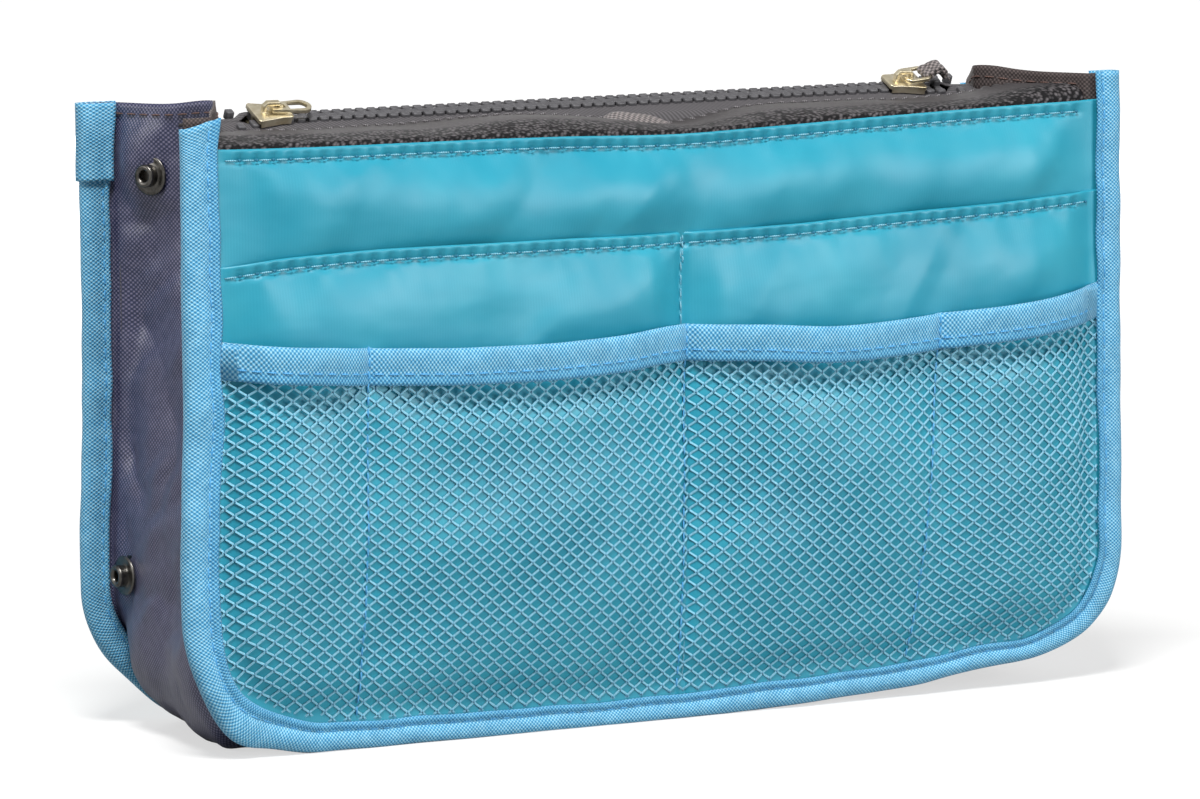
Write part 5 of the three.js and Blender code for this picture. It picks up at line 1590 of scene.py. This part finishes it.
columns, lengths = steps(0, HANDLE_WIDTH, 1.0), steps(0, HANDLE_RUN, 1.5)
for (name, side), raised in zip(FACES, HANDLE_RAISED):
    place = handle_place(side, edge_heights[name], raised)
    piece = cloth(f"{name}_handle_webbing", columns, lengths, place, HANDLE_PLY, (0, 0, 1))
    wear(piece, webbing_finish, "webbing", f"{name}_handle", held="folded", rests_on=[f"{name}_facing"])
tell_cut("front_handle_webbing")

# %% [markdown]
# ## End stops, sliders and pulls
# These are hard parts, and the CAD already has their exact shapes. A real moulding or casting has no
# razor edges though, so each is copied, its loose triangles are merged and its flat faces joined, and a
# Bevel modifier rounds its edges. The copy takes the place of the CAD node.

# %% Round the edges of the hard parts
SAME_POINT = 0.00001
FLAT_ANGLE, EDGE_ANGLE, SMOOTH_ANGLE = (math.radians(a) for a in (1, 25, 40))


def rounded(node, finish, slot, body, bevel_mm, segments=2):
    copy = frame["nodes"][node].copy()
    copy.data = frame["nodes"][node].data.copy()
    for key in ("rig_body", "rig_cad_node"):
        if key in copy:
            del copy[key]
    copy.parent = None
    copy.name = copy.data.name = f"{node}_rounded"
    put_in_scene(copy)
    bpy.ops.object.mode_set(mode="EDIT")
    bpy.ops.mesh.select_all(action="SELECT")
    bpy.ops.mesh.remove_doubles(threshold=SAME_POINT)
    bpy.ops.mesh.dissolve_limited(angle_limit=FLAT_ANGLE)
    bpy.ops.object.mode_set(mode="OBJECT")
    edges = {"limit_method": "ANGLE", "angle_limit": EDGE_ANGLE}
    apply_modifier(copy, "BEVEL", width=bevel_mm * MM, segments=segments, **edges)
    bpy.ops.object.shade_smooth_by_angle(angle=SMOOTH_ANGLE)
    return wear(copy, finish, slot, node, body=body)


hard_parts = [
    rounded(f"{name}_{end}_zip_stop", acetal_finish, "acetal", "bag", 0.35)
    for name, side in FACES
    for end in ("left", "right")
]
for node, body, bevel_mm in (
    ("left_slider", "left_slider", 0.3),
    ("right_slider", "right_slider", 0.3),
    ("left_pull", "left_pull", 0.3),
    ("right_pull_ring", "right_pull", 0.35),
):
    hard_parts.append(rounded(node, gold_finish, "pale_gold", body, bevel_mm, 3))
print("rounded parts have", sum(len(part.data.polygons) for part in hard_parts), "faces")

# %% [markdown]
# ## Zip teeth
# A moulded tooth is a small block that grips the tape's edge, with a neck and a wider head that locks
# behind the heads of the other row. One tooth starts as a cube. Its inner face is extruded to a neck and
# out again to a head, and a Bevel rounds it as a mould does. Copies then stand along both tapes, half a
# step apart.

# %% Model one zip tooth and copy it along both tapes
TOOTH_PITCH = 3.5
TOOTH_COUNT = 62
TOOTH_BLOCK = (2.6, 1.5, 2.6)
TOOTH_BACK = 2.6
TOOTH_ROUNDING = 0.42
TOOTH_STEPS = [(0.7, 0.5, 0.75), (0.6, 1.8, 1.1), (0.75, 0.95, 1.0)]


def modelled_tooth():
    """The points, in mm, and faces of one tooth; X along the zip, Y towards the other row, Z up."""
    bpy.ops.object.select_all(action="DESELECT")
    middle = -TOOTH_BACK + TOOTH_BLOCK[1] / 2
    block = [d * MM for d in TOOTH_BLOCK]
    bpy.ops.mesh.primitive_cube_add(size=1, location=(0, middle * MM, 0), scale=block)
    tooth = bpy.context.object
    bpy.ops.object.transform_apply(location=True, scale=True)
    for polygon in tooth.data.polygons:
        polygon.select = polygon.normal.y > 0.9
    bpy.ops.object.mode_set(mode="EDIT")
    bpy.context.tool_settings.mesh_select_mode = (False, False, True)
    for reach, wide, high in TOOTH_STEPS:
        bpy.ops.mesh.extrude_region_move(TRANSFORM_OT_translate={"value": (0, reach * MM, 0)})
        bpy.ops.transform.resize(value=(wide, 1, high), center_override=(0, 0, 0))
    bpy.ops.object.mode_set(mode="OBJECT")
    apply_modifier(tooth, "BEVEL", width=TOOTH_ROUNDING * MM, segments=2)
    return shape_of(tooth, MM)


TOOTH_SHAPE = modelled_tooth()
lean = Matrix.Rotation(CHAIN_LEAN, 3, "X")
for name, side in FACES:
    first = -(TOOTH_COUNT - 1) * TOOTH_PITCH / 2 + side * TOOTH_PITCH / 4
    x = first + TOOTH_PITCH * np.arange(TOOTH_COUNT)
    spots = np.column_stack((x, side * parted(x), 0 * x)) @ np.array(lean.transposed()) + (0, 0, CHAIN_Z)
    ways = np.array(lean @ Matrix.Diagonal((-side, -side, 1)))
    axes = np.repeat(ways.T[None], TOOTH_COUNT, axis=0)
    teeth = copies(f"{name}_zip_teeth_acetal", TOOTH_SHAPE, spots, axes)
    wear(teeth, acetal_finish, "acetal", f"{name}_zip_teeth")
print("a tooth has", len(TOOTH_SHAPE[1]), "faces, and there are", 2 * TOOTH_COUNT)

# %% [markdown]
# ## The ribbon on the right pull
# A short woven ribbon is looped through the ring, and its cut end frays into loose threads. Its path goes
# out along the tail, round the ring's bar and back. The threads are thin tubes that spread a little. A
# few points give that path, which is easier to change than a modelled loop.

# %% The ribbon's route
PULL_HEIGHT = 3.8
RING_TILT = math.radians(6)
RIBBON_ROUTE = np.array([
    (12.9, -0.6), (12.7, 1.0), (11.7, 2.3), (10.1, 2.6), (8.7, 2.2), (7.5, 1.5), (6.2, 1.2), (5.55, 0.1),
    (6.2, -1.1), (7.4, -1.1), (8.7, 0.2), (10.0, 1.1), (11.1, 0.9), (11.7, -0.2), (11.9, -1.4),
])


def rounded_route(route, each=4):
    """More points between those of a route, on a smooth curve through them."""
    spots = np.arange(len(route))
    fine = np.linspace(0, len(route) - 1, (len(route) - 1) * each + 1)
    return np.column_stack([curve_through(np.column_stack((spots, part)))(fine) for part in route.T])


def on_pull(along, across, up):
    """A place by the ring: along its tail, across it and above it, leaning with the chain."""
    height = PULL_HEIGHT + along * math.sin(RING_TILT) + up * math.cos(RING_TILT)
    x = RIGHT_SLIDER_X + along * math.cos(RING_TILT) - up * math.sin(RING_TILT)
    lean, rise = math.sin(CHAIN_LEAN), math.cos(CHAIN_LEAN)
    return x, across * rise - height * lean, CHAIN_Z + across * lean + height * rise


RIBBON = rounded_route(RIBBON_ROUTE)
print("the route is", round(run_along(RIBBON)[-1], 1), "mm long")

# %% Ribbon
RIBBON_HALF = 2.5
RIBBON_PLY = 0.75


def ribbon_place(u, v):
    along, up = profile_at(RIBBON, v)
    return on_pull(along, u, up + 0.12 * np.sin(2.1 * u + v))


columns = steps(-RIBBON_HALF, RIBBON_HALF, 0.5)
ribbon = cloth(
    "right_pull_ribbon_webbing", columns, run_along(RIBBON), ribbon_place, RIBBON_PLY, (0, 0, 1), (0.05, 0.5)
)
wear(ribbon, webbing_finish, "webbing", "right_pull_ribbon", body="right_pull")
tell_cut("right_pull_ribbon_webbing")

# %% Frayed threads
FRAY_COUNT, FRAY_HALF = 9, 2.2
FRAY_SECTION = 0.16 * np.array([(-1, 0), (0, 1), (1, 0), (0, -1)])
points, faces = [], []
for k, across in enumerate(np.linspace(-FRAY_HALF, FRAY_HALF, FRAY_COUNT)):
    t = np.linspace(0, 1, 5)
    reach = RIBBON_ROUTE[0, 0] - 0.2 + t * (0.9 + 0.6 * math.sin(2.4 * k))
    up = RIBBON_ROUTE[0, 1] + 0.4 - t * (1.6 + 0.6 * math.sin(1.7 * k))
    path = np.column_stack(on_pull(reach, across * (1 + 0.25 * t) + 0.2 * t * math.sin(5 * k), up))
    tube = yarn_tube(path, FRAY_SECTION)
    faces += tube_faces(len(tube), len(FRAY_SECTION), sum(len(p) for p in points))
    points.append(tube.reshape(-1, 3))
fray = mesh_piece("right_pull_frayed_threads", np.concatenate(points), faces)
wear(fray, webbing_finish, "webbing", body="right_pull")
print("frayed threads:", FRAY_COUNT)

# %% [markdown]
# ## Press studs
# Each stud and socket is a stamped ring: a profile turned round its axis. Half a section is drawn once as
# a line of points, the Spin operator turns it, and the copies are set on the gussets where the CAD has
# them.

# %% Turn one stud, one socket and one cap
SNAP_RIM = [
    (0.0, -1.0), (1.5, -1.0), (1.5, 0.7), (5.1, 0.7), (5.45, 0.85), (5.5, 1.05), (5.35, 1.3), (5.0, 1.42),
]
SNAP_PROFILES = {
    "stud": SNAP_RIM + [
        (4.2, 1.3), (3.6, 1.3), (3.1, 1.5), (2.95, 2.2), (3.1, 3.2), (3.15, 3.6), (2.95, 3.95), (2.5, 4.1),
        (2.0, 4.05), (1.65, 3.8), (1.55, 3.2), (1.5, 1.7), (0.0, 1.6),
    ],
    "socket": SNAP_RIM + [
        (4.75, 1.5), (4.6, 2.0), (4.5, 2.7), (4.25, 3.02), (3.9, 3.1), (3.65, 2.95), (3.55, 2.5),
        (3.55, 1.6), (3.3, 1.42), (0.0, 1.4),
    ],
    "cap": [
        (0.0, -1.9), (2.5, -1.85), (4.4, -1.6), (5.3, -1.15), (5.5, -0.85), (5.4, -0.7), (1.8, -0.7),
        (1.8, -1.3), (0.0, -1.3),
    ],
}
TURN_STEPS = 32


def turned(name, profile):
    """A profile of radius and height, turned round Z by the Spin operator."""
    mesh = bpy.data.meshes.new(name)
    points = [(r * MM, 0, h * MM) for r, h in profile]
    mesh.from_pydata(points, [(i, i + 1) for i in range(len(points) - 1)], [])
    piece = put_in_scene(bpy.data.objects.new(name, mesh))
    bpy.ops.object.mode_set(mode="EDIT")
    bpy.ops.mesh.select_all(action="SELECT")
    bpy.ops.mesh.spin(steps=TURN_STEPS, angle=2 * math.pi, center=(0, 0, 0), axis=(0, 0, 1))
    bpy.ops.mesh.select_all(action="SELECT")
    bpy.ops.mesh.remove_doubles(threshold=SAME_POINT)
    bpy.ops.mesh.normals_make_consistent(inside=False)
    bpy.ops.object.mode_set(mode="OBJECT")
    bpy.ops.object.shade_smooth_by_angle(angle=math.radians(50))
    return piece


snap_shapes = {kind: turned(f"{kind}_shape", profile) for kind, profile in SNAP_PROFILES.items()}
print("a stud has", len(snap_shapes["stud"].data.polygons), "faces")

# %% Set the studs, sockets and caps on the gussets
SNAP_PLACES = {"upper": (152, 21), "lower": (42, 26)}


def snap_matrix(sign, z, y):
    fold = float(fold_depth(z))
    x = sign * (HALF_WIDTH - GUSSET_TURN - fold * (1 - abs(y) / GUSSET_FLANGE))
    out = Vector((sign * GUSSET_FLANGE, -math.copysign(fold, y), 0)).normalized()
    spot = Vector([float(c) for c in settle(x, y, z)]) * MM
    return Matrix.Translation(spot) @ out.to_track_quat("Z", "Y").to_matrix().to_4x4()


for end, sign in (("left", -1), ("right", 1)):
    for spot, (z, y) in SNAP_PLACES.items():
        for kind, half in (("stud", REAR), ("socket", FRONT)):
            for shape, node in ((kind, f"{end}_{spot}_{kind}"), ("cap", f"{end}_{spot}_{kind}_cap")):
                piece = snap_shapes[shape].copy()
                piece.data = snap_shapes[shape].data.copy()
                piece.name = piece.data.name = f"{node}_metal"
                piece.data.transform(snap_matrix(sign, z, half * y))
                wear(put_in_scene(piece), gunmetal_finish, "gunmetal", node)
for shape in snap_shapes.values():
    bpy.data.objects.remove(shape)

# %% Print every sheet's cut size
for name in sorted(cut_sizes):
    tell_cut(name)

# %% [markdown]
# ## Floor and light
# The pouch stands on a pale table in plain soft studio light. A lamp high up in front is the main one, a
# weaker one fills from the right, one at the left brings out the gloss of the gusset, and one behind
# lights the rear face. The floor throws little light back, so that the folds keep their shadows, and to
# the camera it glows, so that it reads as the white page of the photograph while the shadow under the
# pouch stays.

# %% Floor
FLOOR_SIZE = 24
bpy.ops.object.select_all(action="DESELECT")
bpy.ops.mesh.primitive_plane_add(size=FLOOR_SIZE, location=(0, 0, 0))
floor = bpy.context.object
floor.name = "floor"
floor_finish, tree, shader = finish_named("pale_table", Roughness=0.9, Specular_IOR_Level=0.1)
shader.inputs["Base Color"].default_value = linear("A2A2A1")
ray = add(tree, "LightPath")
place = add(tree, "TexCoord").outputs["Object"]
reach = add(tree, "VectorMath", {"operation": "LENGTH"}, {0: place}).outputs["Value"]
span = {"From Min": 0.3, "From Max": 2.5, "To Min": 0.62, "To Max": 0.97}
glow = add(tree, "MapRange", span, {"Value": reach})
seen = add(tree, "Math", {"operation": "MULTIPLY"}, {0: ray.outputs["Is Camera Ray"], 1: glow})
shader.inputs["Emission Color"].default_value = linear("FFFFFF")
feed(tree, shader, {"Emission Strength": seen})
floor.data.materials.append(floor_finish)
print("floor size:", floor.dimensions[:2])

# %% Lamps
LIT_POINT = Vector((0, 0, 0.09))
LAMPS = (
    ("main_lamp", (-0.6, -0.9, 1.95), 0.6, 50),
    ("fill_lamp", (0.9, -2.0, 0.6), 1.2, 28),
    ("back_lamp", (0.7, 1.9, 0.5), 1.0, 16),
    ("side_lamp", (-1.8, 0.25, 0.75), 0.6, 5.5),
)
for name, place, size, watts in LAMPS:
    bpy.ops.object.select_all(action="DESELECT")
    bpy.ops.object.light_add(type="AREA", location=place)
    lamp = bpy.context.object
    lamp.name = name
    lamp.data.size = size
    lamp.data.energy = watts
    lamp.rotation_euler = (Vector(place) - LIT_POINT).to_track_quat("Z", "Y").to_euler()

# %% World and view
world = bpy.data.worlds.new("studio")
bpy.context.scene.world = world
world.use_nodes = True
tree = world.node_tree
background = tree.nodes["Background"]
background.inputs["Color"].default_value = linear("FFFFFF")
ray = add(tree, "LightPath").outputs
dim = {"operation": "MULTIPLY_ADD", 1: 0.4, 2: 0.09}
mirrored = add(tree, "Math", dim, {0: ray["Is Glossy Ray"]})
strength = add(tree, "Math", {"operation": "MAXIMUM"}, {0: ray["Is Camera Ray"], 1: mirrored})
feed(tree, background, {"Strength": strength})
bpy.context.scene.view_settings.view_transform = "Standard"
print("world:", world.name)
